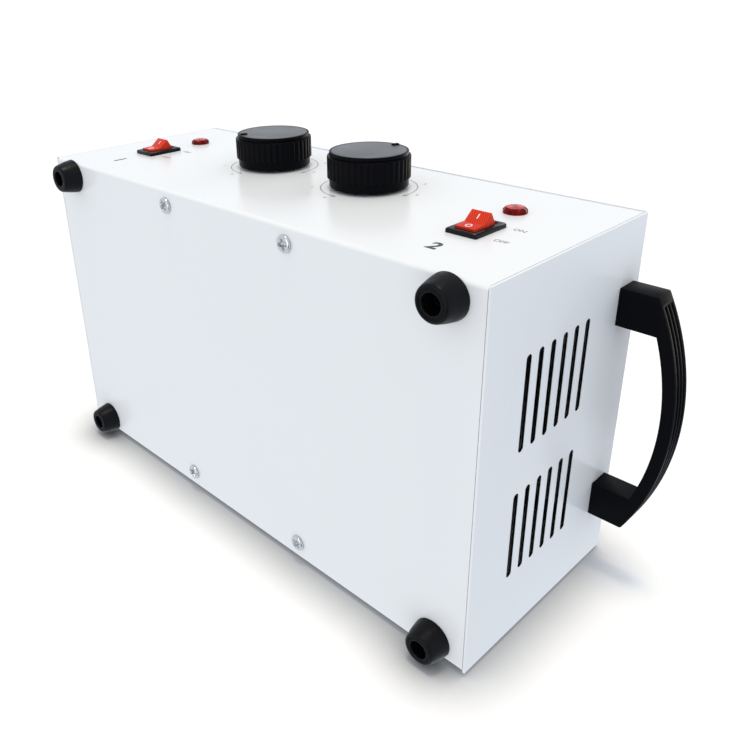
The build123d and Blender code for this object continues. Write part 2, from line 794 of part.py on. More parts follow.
# Thermostats behind the front panel, each with its bush, nut, D shaft, grooved
# knob and pressed-in cap
knob_parting = knob_base_height + knob_grip_height
recess_floor = knob_gap + knob_recess_depth
shaft_end = knob_gap + knob_bore_depth - rest_gap
knob_face = knob_gap + knob_height
for side, sx in sides:
    x = knob_shift + sx * knob_pitch / 2
    body_plane = front_plane(x, knob_z, -sheet)
    with BuildPart() as thermostat:
        with BuildSketch(body_plane) as block:
            Rectangle(thermostat_width, thermostat_height)
            fillet(block.vertices(), thermostat_corner)
        extrude(amount=-thermostat_depth)
        with BuildSketch(body_plane):
            Circle(bush_r)
        extrude(amount=sheet + bush_nut_height)
        with BuildSketch(front_plane(x, knob_z, bush_nut_height)):
            Circle(shaft_r + shaft_fit)
        extrude(amount=-bush_nut_height - sheet - shaft_seat, mode=Mode.SUBTRACT)
    save(thermostat, f"thermostat_{side}")

    pointer = pointer_angle[side]
    flat_plane = Plane(
        origin=(x, front_y, knob_z),
        x_dir=(cos(radians(pointer)), 0, sin(radians(pointer))),
        z_dir=(0, -1, 0),
    )
    with BuildPart() as shaft:
        with BuildSketch(flat_plane.offset(-sheet - shaft_seat + rest_gap)):
            Circle(shaft_r)
        extrude(amount=sheet + shaft_seat - rest_gap + recess_floor)
        with BuildSketch(flat_plane.offset(recess_floor)):
            Circle(shaft_r)
            with Locations((shaft_flat + shaft_r, 0)):
                Rectangle(2 * shaft_r, 2 * shaft_r, mode=Mode.SUBTRACT)
        extrude(amount=shaft_end - recess_floor)
    save(shaft, f"thermostat_shaft_{side}")

    with BuildPart() as knob:
        with BuildSketch(outward_plane(x, knob_z)) as profile:
            with BuildLine():
                Polyline(
                    (0, recess_floor),
                    (knob_recess_r, recess_floor),
                    (knob_recess_r, knob_gap),
                    (knob_base_r, knob_gap),
                    (knob_base_r, knob_gap + knob_base_height),
                    (knob_grip_r, knob_gap + knob_base_height),
                    (knob_grip_r, knob_gap + knob_parting),
                    (knob_neck_r, knob_gap + knob_parting),
                    (knob_neck_r, knob_gap + knob_parting + knob_neck_height),
                    (knob_top_r, knob_gap + knob_parting + knob_neck_height),
                    (knob_top_r, knob_face),
                    (cap_r + snug, knob_face),
                    (cap_r + snug, knob_face - cap_thick),
                    (0, knob_face - cap_thick),
                    close=True,
                )
            make_face()
            chamfer(corners_at(profile, knob_top_r)[-1], knob_edge)
            chamfer(corners_at(profile, knob_base_r)[0], knob_edge)
        revolve(axis=Axis((x, front_y, knob_z), (0, -1, 0)))
        with BuildSketch(flat_plane.offset(knob_gap + knob_base_height)):
            with PolarLocations(knob_grip_r, groove_count):
                Circle(groove_r)
        extrude(amount=knob_grip_height, mode=Mode.SUBTRACT)
        with BuildSketch(flat_plane.offset(knob_face - cap_thick)):
            with Locations((cap_r + snug - pointer_length / 2, 0)):
                Rectangle(pointer_length, pointer_width)
        extrude(amount=cap_thick + pointer_height)
        with BuildSketch(flat_plane.offset(recess_floor)):
            Circle(shaft_r + snug)
            with Locations((shaft_flat + snug + shaft_r, 0)):
                Rectangle(2 * shaft_r, 2 * shaft_r, mode=Mode.SUBTRACT)
        extrude(amount=knob_gap + knob_bore_depth - recess_floor, mode=Mode.SUBTRACT)
    save(knob, f"knob_{side}")

    with BuildPart() as cap:
        with BuildSketch(flat_plane.offset(knob_face - cap_thick)):
            Circle(cap_r)
            with Locations((cap_r + 2 * snug - pointer_length / 2, 0)):
                Rectangle(pointer_length + 2 * snug, pointer_width + 2 * snug, mode=Mode.SUBTRACT)
        extrude(amount=cap_thick)
    save(cap, f"knob_cap_{side}")

with BuildPart() as bush_nuts:
    with Locations(*[front_plane(knob_shift + sx * knob_pitch / 2, knob_z) for _, sx in sides]):
        add(hex_nut(bush_nut_flats, bush_nut_height, bush_r + thread_gap))
save(bush_nuts, "bush_nuts")

# Rocker switches: snap-in housing with brass tabs, and a tilting rocker on two
# trunnions. At rest the lower half is pressed in and the switch is off
face_angle = radians(rocker_face_angle)
tilt = radians(rocker_tilt)
ridge_v = rocker_valley + rocker_half_length * tan(face_angle)
opening_half = rocker_half_length * cos(tilt) + ridge_v * sin(tilt) + rocker_end_gap
opening_width = rocker_width + 2 * rocker_side_gap
cavity_depth = rocker_pivot_depth + rocker_root_depth + rocker_root
foot_u = rocker_half_length + rocker_flare
foot_v = ridge_v - rocker_skirt
for side, sx in sides:
    x = switch_shift + sx * switch_pitch / 2
    with BuildPart() as housing:
        with BuildSketch(front_plane(x, switch_z)) as bezel:
            Rectangle(bezel_width, bezel_length)
            fillet(bezel.vertices(), bezel_edge)
        extrude(amount=bezel_height)
        chamfer(housing.faces().sort_by(Axis.Y)[0].edges(), bezel_edge)
        with BuildSketch(front_plane(x, switch_z)):
            Rectangle(switch_width, switch_length)
        extrude(amount=-switch_depth)
        with BuildSketch(front_plane(x, switch_z, bezel_height)):
            Rectangle(opening_width, 2 * opening_half)
        extrude(amount=-bezel_height - cavity_depth, mode=Mode.SUBTRACT)
        with BuildSketch(Plane.YZ.offset(x - switch_width / 2)):
            with Locations((front_y + rocker_pivot_depth, switch_z)):
                Circle(trunnion_r + trunnion_fit)
        extrude(amount=switch_width, mode=Mode.SUBTRACT)
    save(housing, f"switch_housing_{side}")

    rocker_plane = Plane(
        origin=(x, front_y + rocker_pivot_depth, switch_z),
        x_dir=(0, -sin(tilt), cos(tilt)),
        z_dir=(1, 0, 0),
    )
    with BuildPart() as rocker:
        with BuildSketch(rocker_plane.offset(-rocker_width / 2)):
            with BuildLine():
                Polyline(
                    (0, rocker_valley),
                    (rocker_half_length, ridge_v),
                    (foot_u, foot_v),
                    (rocker_root, -rocker_root_depth),
                    (-rocker_root, -rocker_root_depth),
                    (-foot_u, foot_v),
                    (-rocker_half_length, ridge_v),
                    close=True,
                )
            make_face()
        extrude(amount=rocker_width)
        with BuildSketch(rocker_plane.offset(-rocker_width / 2 - trunnion_length)):
            Circle(trunnion_r)
        extrude(amount=rocker_width + 2 * trunnion_length)
    save(rocker, f"rocker_{side}")

with BuildPart() as switch_tabs:
    for _, sx in sides:
        with BuildSketch(front_plane(switch_shift + sx * switch_pitch / 2, switch_z, -switch_depth)):
            with GridLocations(tab_width, tab_pitch, 1, tab_count):
                Rectangle(tab_width, tab_thick)
        extrude(amount=-tab_length)
save(switch_tabs, "switch_tabs")

# Lamps: a red lens whose stem passes the panel into a black body behind it
for side, sx in sides:
    x = lamp_shift + sx * lamp_pitch / 2
    with BuildPart() as lens:
        with BuildSketch(front_plane(x, lamp_z)):
            Circle(lens_r)
        extrude(amount=lens_height)
        chamfer(lens.edges().filter_by(GeomType.CIRCLE).sort_by(Axis.Y)[0], lens_edge)
        with BuildSketch(front_plane(x, lamp_z)):
            Circle(lens_stem_r)
        extrude(amount=-sheet - lamp_stem_depth)
    save(lens, f"lamp_lens_{side}")

    with BuildPart() as lamp_body:
        with BuildSketch(front_plane(x, lamp_z, -sheet)):
            Circle(lamp_body_r)
        extrude(amount=-lamp_body_length)
        with BuildSketch(front_plane(x, lamp_z, -sheet)):
            Circle(lens_stem_r + snug)
        extrude(amount=-lamp_stem_depth - rest_gap, mode=Mode.SUBTRACT)
    save(lamp_body, f"lamp_body_{side}")

# Mains inlet with three pins, screwed to the back
with BuildPart() as inlet:
    with BuildSketch(back_plane(0, inlet_z)) as flange:
        Rectangle(inlet_flange_length, inlet_flange_height)
        chamfer(flange.vertices(), inlet_flange_corner)
    extrude(amount=inlet_flange)
    with BuildSketch(back_plane(0, inlet_z)):
        Rectangle(inlet_body_length, inlet_body_height)
    extrude(amount=-inlet_depth)
    with BuildSketch(back_plane(0, inlet_z, inlet_flange)) as cavity:
        Rectangle(inlet_body_length - 2 * inlet_wall, inlet_body_height - 2 * inlet_wall)
        chamfer(cavity.vertices().group_by(Axis.Y)[-1], inlet_key)
    extrude(amount=-inlet_cavity_depth, mode=Mode.SUBTRACT)
    with BuildSketch(back_plane(0, inlet_z)):
        with Locations((-inlet_screw_pitch / 2, 0), (inlet_screw_pitch / 2, 0)):
            Circle(m3_r + clearance_hole)
    extrude(amount=inlet_flange, mode=Mode.SUBTRACT)
    with BuildSketch(back_plane(0, inlet_z, inlet_flange)):
        with Locations((-inlet_screw_pitch / 2, 0), (inlet_screw_pitch / 2, 0)):
            Circle(m3_head_r + clearance_hole)
    extrude(amount=-m3_head, mode=Mode.SUBTRACT)
save(inlet, "inlet")

pin_floor = inlet_flange - inlet_cavity_depth
with BuildPart() as inlet_pins:
    with BuildSketch(back_plane(0, inlet_z, pin_floor)):
        with Locations((-pin_pitch / 2, 0), (0, pin_earth_rise), (pin_pitch / 2, 0)):
            Rectangle(pin_thick, pin_width)
    extrude(amount=pin_length)
save(inlet_pins, "inlet_pins")

with BuildPart() as inlet_screws:
    for end in (-1, 1):
        with Locations(back_plane(end * inlet_screw_pitch / 2, inlet_z, inlet_flange - m3_head)):
            add(pan_head_screw(m3_r, inlet_flange - m3_head + m3_reach, m3_head_r, m3_head))
save(inlet_screws, "inlet_screws")

# Ceramic terminal block on the tray, between the wells
block_back = case_y + block_width / 2
block_front = case_y - block_width / 2
block_z = tray_top_z + block_bore_rise
pole_places = spread(block_poles, block_pitch)
with BuildPart() as terminal_block:
    with BuildSketch(Plane(origin=(0, case_y, tray_top_z))):
        Rectangle(block_length, block_width)
    extrude(amount=block_height)
    with BuildSketch(Plane.XZ.offset(-block_front)):
        with Locations(*[(pole_x, block_z) for pole_x in pole_places]):
            Circle(block_bore_r)
    extrude(amount=-block_width, mode=Mode.SUBTRACT)
    with BuildSketch(Plane(origin=(0, case_y, tray_top_z + block_height))):
        with GridLocations(block_pitch, block_width / 2, block_poles, 2):
            Circle(block_screw_r)
    extrude(amount=-block_height + block_bore_rise, mode=Mode.SUBTRACT)
save(terminal_block, "terminal_block")

# Sensing bulbs held against the band heaters, each on a capillary from its
# thermostat
bulb_z = heater_z + (heater_height - bulb_length) / 2
for side, sx in sides:
    bulb_aim = radians(bulb_angle)
    bulb_reach = band_r + snug + bulb_r
    bulb_x = sx * (well_pitch / 2 - bulb_reach * cos(bulb_aim))
    bulb_y = well_y - bulb_reach * sin(bulb_aim)
    outlet_x = knob_shift + sx * knob_pitch / 2
    outlet_y = front_y + sheet + thermostat_depth
    capillary = [
        (bulb_x, bulb_y, bulb_z + bulb_length),
        (bulb_x, bulb_y, bulb_z + bulb_length + capillary_rise),
        (outlet_x, outlet_y + capillary_run, bulb_z + bulb_length + capillary_rise),
        (outlet_x, outlet_y + capillary_run, knob_z),
        (outlet_x, outlet_y, knob_z),
    ]
    with BuildPart() as sensor:
        with BuildSketch(Plane(origin=(bulb_x, bulb_y, bulb_z))):
            Circle(bulb_r)
        extrude(amount=bulb_length)
        with BuildLine() as route:
            FilletPolyline(*capillary, radius=soft_radii(capillary))
        with BuildSketch(Plane(origin=(bulb_x, bulb_y, bulb_z + bulb_length))):
            Circle(capillary_r)
        sweep(path=route.wire())
    save(sensor, f"sensor_{side}")

# Leads inside the case: inlet to the block, block to each switch, switch to lamp
# and thermostat, thermostat to heater, fuse back to the block, and the earth lead
# to the tray


def lead(points):
    """One lead along straight runs joined by soft bends."""
    with BuildPart() as tube:
        with BuildLine() as route:
            FilletPolyline(*points, radius=soft_radii(points))
        with BuildSketch(Plane(origin=route.wire() @ 0, z_dir=route.wire() % 0)):
            Circle(lead_r)
        sweep(path=route.wire())
    return tube.part


inlet_rear = back_y - inlet_depth
tab_end = front_y + switch_depth + tab_length
lamp_rear = front_y + sheet + lamp_body_length
thermostat_rear = front_y + sheet + thermostat_depth
inner_pole, outer_pole = pole_places[-2:]
lead_aim = radians(lead_angle)
with BuildPart() as wiring:
    add(lead([
        (0, inlet_rear, inlet_z + pin_earth_rise),
        (0, inlet_rear - lead_run, inlet_z + pin_earth_rise),
        (0, inlet_rear - lead_run, tray_top_z),
    ]))
    for _, sx in sides:
        switch_x = switch_shift + sx * switch_pitch / 2
        lamp_x = lamp_shift + sx * lamp_pitch / 2
        switched_x = knob_shift + sx * (knob_pitch / 2 + lead_offset)
        heater_lead_x = knob_shift + sx * (knob_pitch / 2 - lead_offset)
        band_x = sx * (well_pitch / 2 - (band_r + rest_gap) * cos(lead_aim))
        band_y = well_y - (band_r + rest_gap) * sin(lead_aim)
        fuse_x = sx * (well_pitch / 2 - band_r - snug - fuse_r)
        add(lead([
            (sx * pin_pitch / 2, inlet_rear, inlet_z),
            (sx * pin_pitch / 2, inlet_rear - lead_run, inlet_z),
            (sx * inner_pole, block_back + lead_run, block_z),
            (sx * inner_pole, block_back - lead_bite, block_z),
        ]))
        add(lead([
            (sx * inner_pole, block_front + lead_bite, block_z),
            (sx * inner_pole, block_front - lead_run, block_z),
            ((sx * inner_pole + switch_x) / 2, (block_front + tab_end) / 2, block_z + lead_lift),
            (switch_x, tab_end + lead_run, switch_z - tab_pitch - lead_lift),
            (switch_x, tab_end + lead_run / 2, switch_z - tab_pitch),
            (switch_x, tab_end, switch_z - tab_pitch),
        ]))
        add(lead([
            (switch_x, tab_end, switch_z),
            (switch_x, tab_end + lead_loop, switch_z),
            (lamp_x, lamp_rear + lead_loop, lamp_z),
            (lamp_x, lamp_rear, lamp_z),
        ]))
        add(lead([
            (switch_x, tab_end, switch_z + tab_pitch),
            (switch_x, tab_end + lead_run, switch_z + tab_pitch),
            (switched_x, thermostat_rear + lead_run, knob_z - lead_lift),
            (switched_x, thermostat_rear, knob_z - lead_lift),
        ]))
        add(lead([
            (heater_lead_x, thermostat_rear, knob_z - lead_lift),
            (heater_lead_x, thermostat_rear + lead_run, knob_z - lead_lift),
            (
                band_x - sx * lead_run * cos(lead_aim),
                band_y - lead_run * sin(lead_aim),
                heater_z + lead_lift,
            ),
            (band_x, band_y, heater_z + lead_lift),
        ]))
        add(lead([
            (fuse_x, well_y, fuse_z),
            (fuse_x, well_y, fuse_z - lead_run),
            (sx * outer_pole, block_back + lead_loop, block_z + lead_loop),
            (sx * outer_pole, block_back + lead_run, block_z),
            (sx * outer_pole, block_back - lead_bite, block_z),
        ]))
save(wiring, "wiring")
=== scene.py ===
"""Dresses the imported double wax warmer: detailed pieces, finishes, printing, light and camera."""

import json
from math import acos, asin, cos, pi, radians, sin, sqrt, tan

import bmesh
import bpy
import numpy as np
from bpy.props import FloatProperty, FloatVectorProperty, IntProperty, PointerProperty
from mathutils import Matrix, Vector


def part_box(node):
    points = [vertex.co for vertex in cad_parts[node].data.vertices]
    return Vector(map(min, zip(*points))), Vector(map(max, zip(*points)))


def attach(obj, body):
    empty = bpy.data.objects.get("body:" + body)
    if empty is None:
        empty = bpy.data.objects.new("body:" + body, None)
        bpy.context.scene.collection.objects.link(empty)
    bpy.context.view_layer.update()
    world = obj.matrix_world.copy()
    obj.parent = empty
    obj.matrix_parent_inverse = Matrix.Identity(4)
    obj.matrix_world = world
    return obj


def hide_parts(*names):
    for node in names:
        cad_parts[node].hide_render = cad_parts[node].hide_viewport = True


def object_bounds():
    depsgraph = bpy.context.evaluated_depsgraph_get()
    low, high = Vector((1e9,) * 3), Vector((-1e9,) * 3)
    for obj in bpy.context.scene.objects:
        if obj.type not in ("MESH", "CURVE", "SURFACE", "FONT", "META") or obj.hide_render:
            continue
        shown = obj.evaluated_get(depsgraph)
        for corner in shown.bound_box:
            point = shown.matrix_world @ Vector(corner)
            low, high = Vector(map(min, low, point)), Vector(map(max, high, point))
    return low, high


bl_info = {
    "name": "Double wax warmer",
    "version": (1, 0, 0),
    "blender": (4, 5, 0),
    "location": "View3D > Sidebar > Warmer",
    "description": "Dresses the solids of a double wax warmer and sets its light and camera",
    "category": "Object",
}

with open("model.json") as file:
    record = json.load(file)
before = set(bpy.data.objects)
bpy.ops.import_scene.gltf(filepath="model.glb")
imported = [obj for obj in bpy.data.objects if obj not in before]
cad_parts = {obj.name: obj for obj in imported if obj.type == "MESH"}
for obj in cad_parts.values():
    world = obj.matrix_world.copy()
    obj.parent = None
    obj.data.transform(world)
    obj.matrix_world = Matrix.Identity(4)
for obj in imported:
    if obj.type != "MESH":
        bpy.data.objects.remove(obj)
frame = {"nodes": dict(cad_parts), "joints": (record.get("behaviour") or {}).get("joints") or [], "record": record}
cad_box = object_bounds()

MM = 0.001
MERGE = 1e-6
SIDES = ("left", "right")

# Where local x, y and z point on each side of the object
FACINGS = {
    "front": ((1, 0, 0), (0, 0, 1), (0, -1, 0)),
    "back": ((-1, 0, 0), (0, 0, 1), (0, 1, 0)),
    "up": ((1, 0, 0), (0, 1, 0), (0, 0, 1)),
    "down": ((1, 0, 0), (0, -1, 0), (0, 0, -1)),
}

# Sizes of the solids that the pieces made here keep to, in millimetres and degrees: the white coat's
# depth on the case's ends and on its other sides, past which the inner faces take painted shade, a
# foot's bore, a knob's levels and a rocker's two slopes
SKIN, EDGE = 0.15, 2.2
BORE_R, BORE_DEPTH = 4.2, 7.4
KNOB_SHELF, GRIP_TOP, KNOB_FACE = 5.2, 15.6, 17.8
ROCKER_TILT, ROCKER_SLOPE, ROCKER_VALLEY = 20.0, 18.0, 4.6

# Where a knob's pointer stands at rest and how far the line round it runs, in degrees
POINTER = {"left": 245.0, "right": 80.0}
DIAL_END = 265

# The screws of each node: piece, slot, head radius, head height, shank radius and shank length
SCREWS = {
    "base_screws": ("base_screw_heads", "chrome", 4.0, 1.8, 1.9, 7.0),
    "foot_screws": ("foot_screw_heads", "black_oxide", 3.0, 2.4, 1.9, 8.2),
    "cover_screws": ("cover_screw_heads", "chrome", 3.0, 1.9, 1.4, 3.0),
    "inlet_screws": ("inlet_screw_heads", "chrome", 3.0, 1.9, 1.4, 3.6),
}

# Rounding of the inlet's edges, and the height of the built-in capital letters as a share of their size
INLET_EDGE = 0.3
CAPITAL = 0.73

# How dark and how light the cells of a lens are, as shares of its colour
CELL_SHARES = (0.62, 1.25)

# The photo's camera in metres: its place, the point that it looks at and its upward direction
CAMERA_PLACE, CAMERA_TARGET = (0.283, -0.17707, -0.1948), (0.00032, 0.00053, 0.07283)
CAMERA_UP = (-0.2818, -0.9094, 0.3059)

# Two floors that only the camera sees: the gap behind the object, a middle height and half a width
FLOOR_GAP, FLOOR_MIDDLE, FLOOR_HALF = 0.2, 60, 2500

# Dark cards that only gloss sees: the side that they face, their middle and their half sizes
CARDS = {
    "card_low": ("down", (600, 500, -900), 520, 420),
    "card_near": ("down", (780, -480, -540), 300, 260),
    "card_high": ("up", (-200, 500, 1100), 900, 160),
}

# Colours of the floors, of the painted shadow on them close to the object and of the cards
FLOOR_WHITE, FLOOR_PAINTED_SHADOW, CARD_DARK = (1.0, 0.995, 0.995), (0.08, 0.08, 0.08), (0.02, 0.02, 0.02)


# Properties


def length(label, about, default):
    """A length property. Its default is written in millimetres and kept in metres."""
    return FloatProperty(
        name=label, description=about, default=default * MM, min=0, unit="LENGTH", precision=5
    )


def tint(label, about, default):
    """A colour property."""
    return FloatVectorProperty(
        name=label, description=about, default=default, subtype="COLOR", min=0, max=1
    )


def amount(label, about, default):
    """A plain number from 0 up."""
    return FloatProperty(name=label, description=about, default=default, min=0, max=10)


def cone(label, about, default):
    """An angle property. Its default is written in degrees and kept in radians."""
    return FloatProperty(name=label, description=about, default=radians(default), subtype="ANGLE")


class WarmerSizes(bpy.types.PropertyGroup):
    """Sizes of the detail that the solids don't have."""

    edge: length("Handle edge", "Rounding of the edges of the end handles", 0.4)
    rib_depth: length("Rib depth", "How deep the grooves in a knob's grip are", 0.45)
    rib_count: IntProperty(name="Ribs", description="Ribs round a knob's grip", default=40, min=6, max=90)
    recess_depth: length("Recess depth", "Depth of a screw's cross recess", 1.9)
    thread_depth: length("Thread depth", "Depth of a screw's thread", 0.25)
    ink: length("Ink", "Thickness of the printing", 0.03)
    dial_r: length("Dial radius", "Radius of the printed line round a knob", 23.3)
    dial_line: length("Dial line", "Width of the printed line round a knob", 0.45)
    caption: length("Caption height", "Height of the words beside a switch", 2.7)
    numeral: length("Numeral height", "Height of the number under each switch", 7.6)
    foot_bulge: length("Foot bulge", "How far the side of a foot swells", 0.25)
    facet: length("Facet depth", "How far the flats round a lamp lens are cut in", 0.3)


class WarmerColours(bpy.types.PropertyGroup):
    """Colours of the finishes."""

    case: tint("Case", "White powder coat", (0.86, 0.873, 0.885))
    # Painted shade: near-black inner faces that make the case's vents and seams look dark
    primer: tint("Painted inner shade", "Inner faces of the case", (0.008, 0.008, 0.008))
    black: tint("Black plastic", "Handles, knobs and switches", (0.004, 0.0042, 0.0058))
    rubber: tint("Rubber", "Feet", (0.004, 0.004, 0.0054))
    cap: tint("Knob cap", "Smooth cap of a knob", (0.085, 0.089, 0.098))
    red: tint("Rocker red", "Rockers", (0.78, 0.05, 0.02))
    # A lamp lens is one red, painted as a darker, shaded copy on its sides and a lighter, lit copy on its flat top
    lamp: tint("Lamp red", "Sides of the lamp lenses", (0.2, 0.005, 0.005))
    table: tint("Lamp table", "Flat top of the lamp lenses", (0.62, 0.1, 0.095))
    ink: tint("Ink", "Numbers under the switches", (0.03, 0.03, 0.035))
    dial: tint("Dial ink", "Line round a knob and the small words", (0.2, 0.205, 0.22))
    mark: tint("Mark", "Signs on a rocker", (0.9, 0.88, 0.86))


class WarmerLight(bpy.types.PropertyGroup):
    """Light and camera."""

    around: amount("Around", "Light from all sides", 0.85)
    cool: tint("Cool", "Colour of the light from all sides", (0.865, 0.92, 1.0))
    gloss: amount("Gloss", "How bright the surroundings are in a reflection", 1.0)
    front: amount("Front", "Soft light on the front", 1.1)
    above: amount("Above", "Soft light from above", 1.0)
    below: amount("Below", "Soft light on the underside", 0.5)
    warm: tint("Warm", "Colour of the soft lights", (1.0, 0.88, 0.68))
    spread: cone("Spread", "Angle that the lights from above and below fill", 45)
    narrow: cone("Front spread", "Angle that the front light fills", 14)
    near: length("Floor shade", "How far the floor's shade reaches from what stands on it", 30.0)
    lens: FloatProperty(name="Lens", description="Focal length on a 36 mm sensor", default=37.577)
    shift_x: FloatProperty(name="Shift across", description="Sideways shift of the lens", default=0.0761)
    shift_y: FloatProperty(name="Shift up", description="Upward shift of the lens", default=-0.0705)


# Points and faces


def facing(side, centre, turn=0.0):
    """Four rows: where local x, y and z point on a side of the object, turned about z, and the origin."""
    across, up, out = np.array(FACINGS[side], float)
    return np.array([cos(turn) * across + sin(turn) * up, cos(turn) * up - sin(turn) * across, out, centre])


def placed(points, place):
    """Local points carried to their place: p = x X + y Y + z Z + origin."""
    return points @ place[:3] + place[3]


def flat_path(points, place):
    """Points of the local xy plane carried to their place."""
    return placed(np.column_stack([points, np.zeros(len(points))]), place)


def arc(centre, radius, start, end, steps=16):
    """Points of an arc: centre + radius (cos a, sin a), with a in degrees from start to end."""
    angle = np.radians(np.linspace(start, end, steps))
    return np.array(centre) + radius * np.stack([np.cos(angle), np.sin(angle)], axis=-1)


def rounded(corners, closed=False, steps=6):
    """An outline of (x, y, radius) corners joined by arcs. An arc touches both sides at radius / tan(half
    of the corner's angle), and its points are turned evenly about its centre. The radius of an open
    outline's two ends isn't used."""
    rows = [np.array(corner, float) for corner in corners]
    ring = [rows[-1], *rows, rows[0]] if closed else rows
    runs = [] if closed else [rows[0][None, :2]]
    for before, here, after in zip(ring, ring[1:], ring[2:]):
        back = (before - here)[:2] / np.linalg.norm((before - here)[:2])
        on = (after - here)[:2] / np.linalg.norm((after - here)[:2])
        half = acos(np.clip(back @ on, -1, 1)) / 2
        radius = max(here[2], 1e-3)
        bisector = (back + on) / np.linalg.norm(back + on)
        centre = here[:2] + bisector * radius / sin(half)
        start = (here[:2] + back * radius / tan(half) - centre) / radius
        end = (here[:2] + on * radius / tan(half) - centre) / radius
        sweep = pi - 2 * half
        share = np.linspace(0, 1, steps if here[2] else 2)[:, None]
        bend = (np.sin((1 - share) * sweep) * start + np.sin(share * sweep) * end) / sin(sweep)
        runs.append(centre + radius * bend)
    if not closed:
        runs.append(rows[-1][None, :2])
    return np.concatenate(runs)


def grid(points, closed_down=False):
    """Points of a grid whose rows are closed as one list, with the quads that join its rows."""
    rows, columns = points.shape[:2]
    down = np.arange(rows if closed_down else rows - 1)
    i, j = (part.ravel() for part in np.meshgrid(down, np.arange(columns), indexing="ij"))
    under, beside = (i + 1) % rows, (j + 1) % columns
    quads = [i * columns + j, i * columns + beside, under * columns + beside, under * columns + j]
    return points.reshape(-1, 3), np.stack(quads, axis=-1)


def divided(outline, step):
    """A closed outline with points added so that no run of it is longer than a step."""
    after = np.roll(outline, -1, axis=0)
    counts = np.maximum(np.ceil(np.linalg.norm(after - outline, axis=1) / step).astype(int), 1)
    start = np.repeat(np.arange(len(outline)), counts)
    share = (np.arange(len(start)) - np.repeat(np.cumsum(counts) - counts, counts)) / counts[start]
    return outline[start] + share[:, None] * (after - outline)[start]


def turned(outline, place, segments=96, swell=None, closed=False):
    """An outline of (radius, height) turned about its axis: x = r cos a, y = r sin a, z = h, where r is
    the outline's radius plus swell(a, h)."""
    angle = np.linspace(0, 2 * pi, segments, endpoint=False)[None]
    radius, height = outline[:, :1], outline[:, 1:]
    reach = radius + (swell(angle, height) if swell else 0)
    local = np.stack([reach * np.cos(angle), reach * np.sin(angle), height + 0 * angle], axis=-1)
    return grid(placed(local, place), closed_down=closed)


def carried(section, path, normal, closed=False):
    """A closed section carried along a path: its x runs along tangent x normal, its y along the normal."""
    before, after = np.roll(path, 1, axis=0), np.roll(path, -1, axis=0)
    if not closed:
        before[0], after[-1] = path[0], path[-1]
    tangent = (after - before) / np.linalg.norm(after - before, axis=1, keepdims=True)
    side = np.cross(tangent, normal)
    points = path[:, None] + section[None, :, :1] * side[:, None] + section[None, :, 1:] * np.array(normal)
    if not closed:
        ends = np.repeat(path[[0, -1], None], len(section), axis=1)
        points = np.concatenate([ends[:1], points, ends[1:]])
    return grid(points, closed_down=closed)


def rectangle(half_x, half_y, corner, steps=6):
    """A rounded rectangle: quarter arcs about the corners of a rectangle that is one radius smaller."""
    quarter = np.linspace(0, pi / 2, steps)
    angle = (np.arange(4)[:, None] * pi / 2 + quarter).ravel()
    x = (half_x - corner) * np.repeat([1, -1, -1, 1], steps) + corner * np.cos(angle)
    y = (half_y - corner) * np.repeat([1, 1, -1, -1], steps) + corner * np.sin(angle)
    return np.stack([x, y], axis=-1)


def stacked(rings, place):
    """Rings of (loop, height) joined one above the other, with both ends closed on the loop's middle."""
    rows = [np.column_stack([loop, np.full(len(loop), height)]) for loop, height in rings]
    first, last = (np.broadcast_to(row.mean(axis=0), row.shape) for row in (rows[0], rows[-1]))
    return grid(placed(np.array([first, *rows, last]), place))


def pillow(half_x, half_y, corner, low, high, edge, place, steps=5):
    """A rounded rectangle raised from low to high, whose top edge is a quarter arc of the given radius."""
    rings = [(rectangle(half_x, half_y, corner), low)]
    for angle in np.linspace(0, pi / 2, steps):
        inset = edge * (1 - cos(angle))
        loop = rectangle(half_x - inset, half_y - inset, max(corner - inset, 0.05))
        rings.append((loop, high - edge + edge * sin(angle)))
    return stacked(rings, place)


def pan_screw(head_r, head, shank_r, shank, place, depth, thread):
    """A pan head screw. The head's top is h (0.6 + 0.4 sqrt(1 - (r / R)^4)). The cross recess is as deep
    as a ramp of how far a point lies inside either arm. The thread lowers the shank's radius by a
    triangle wave of height / pitch plus the turn about the axis."""
    rim, undercut, point, pitch, first, last = 0.5, 0.45, 0.4, 0.7, -0.15, 0.45 - shank
    wide, long, slope, deepest = 0.2 * head_r, 0.6 * head_r, 0.09 * head_r, 0.88 * head
    dome = np.linspace(0, 1, 26)[:, None]
    top = np.hstack([dome * head_r, head * (0.6 + 0.4 * np.sqrt(np.clip(1 - dome**4, 0, 1)))])
    under = np.array([(head_r, rim), (head_r - undercut, 0), (shank_r + 0.1, 0), (shank_r, -0.1)])
    level = np.arange(-0.2, -shank + 0.5, -pitch / 4)[:, None]
    tip = np.array([(shank_r, point - shank), (shank_r - point, -shank), (0, -shank)])
    outline = np.vstack([top, under, np.hstack([np.full_like(level, shank_r), level]), tip])
    angle = np.linspace(0, 2 * pi, 72, endpoint=False)[None]
    radius, height = outline[:, :1] + 0 * angle, outline[:, 1:] + 0 * angle
    wave = np.abs(((height / pitch + angle / (2 * pi)) % 1) * 2 - 1)
    radius = np.where((height < first) & (height > last), radius - thread * wave, radius)
    x, y = radius * np.cos(angle), radius * np.sin(angle)
    inside = np.maximum(
        np.minimum(wide - np.abs(y), long - np.abs(x)), np.minimum(wide - np.abs(x), long - np.abs(y))
    )
    cut = min(depth, deepest) * np.clip(inside / slope + 0.35, 0, 1)
    height = np.where(np.arange(len(outline))[:, None] < len(top), height - cut, height)
    return grid(placed(np.stack([x, y, height], axis=-1), place))


# Pieces


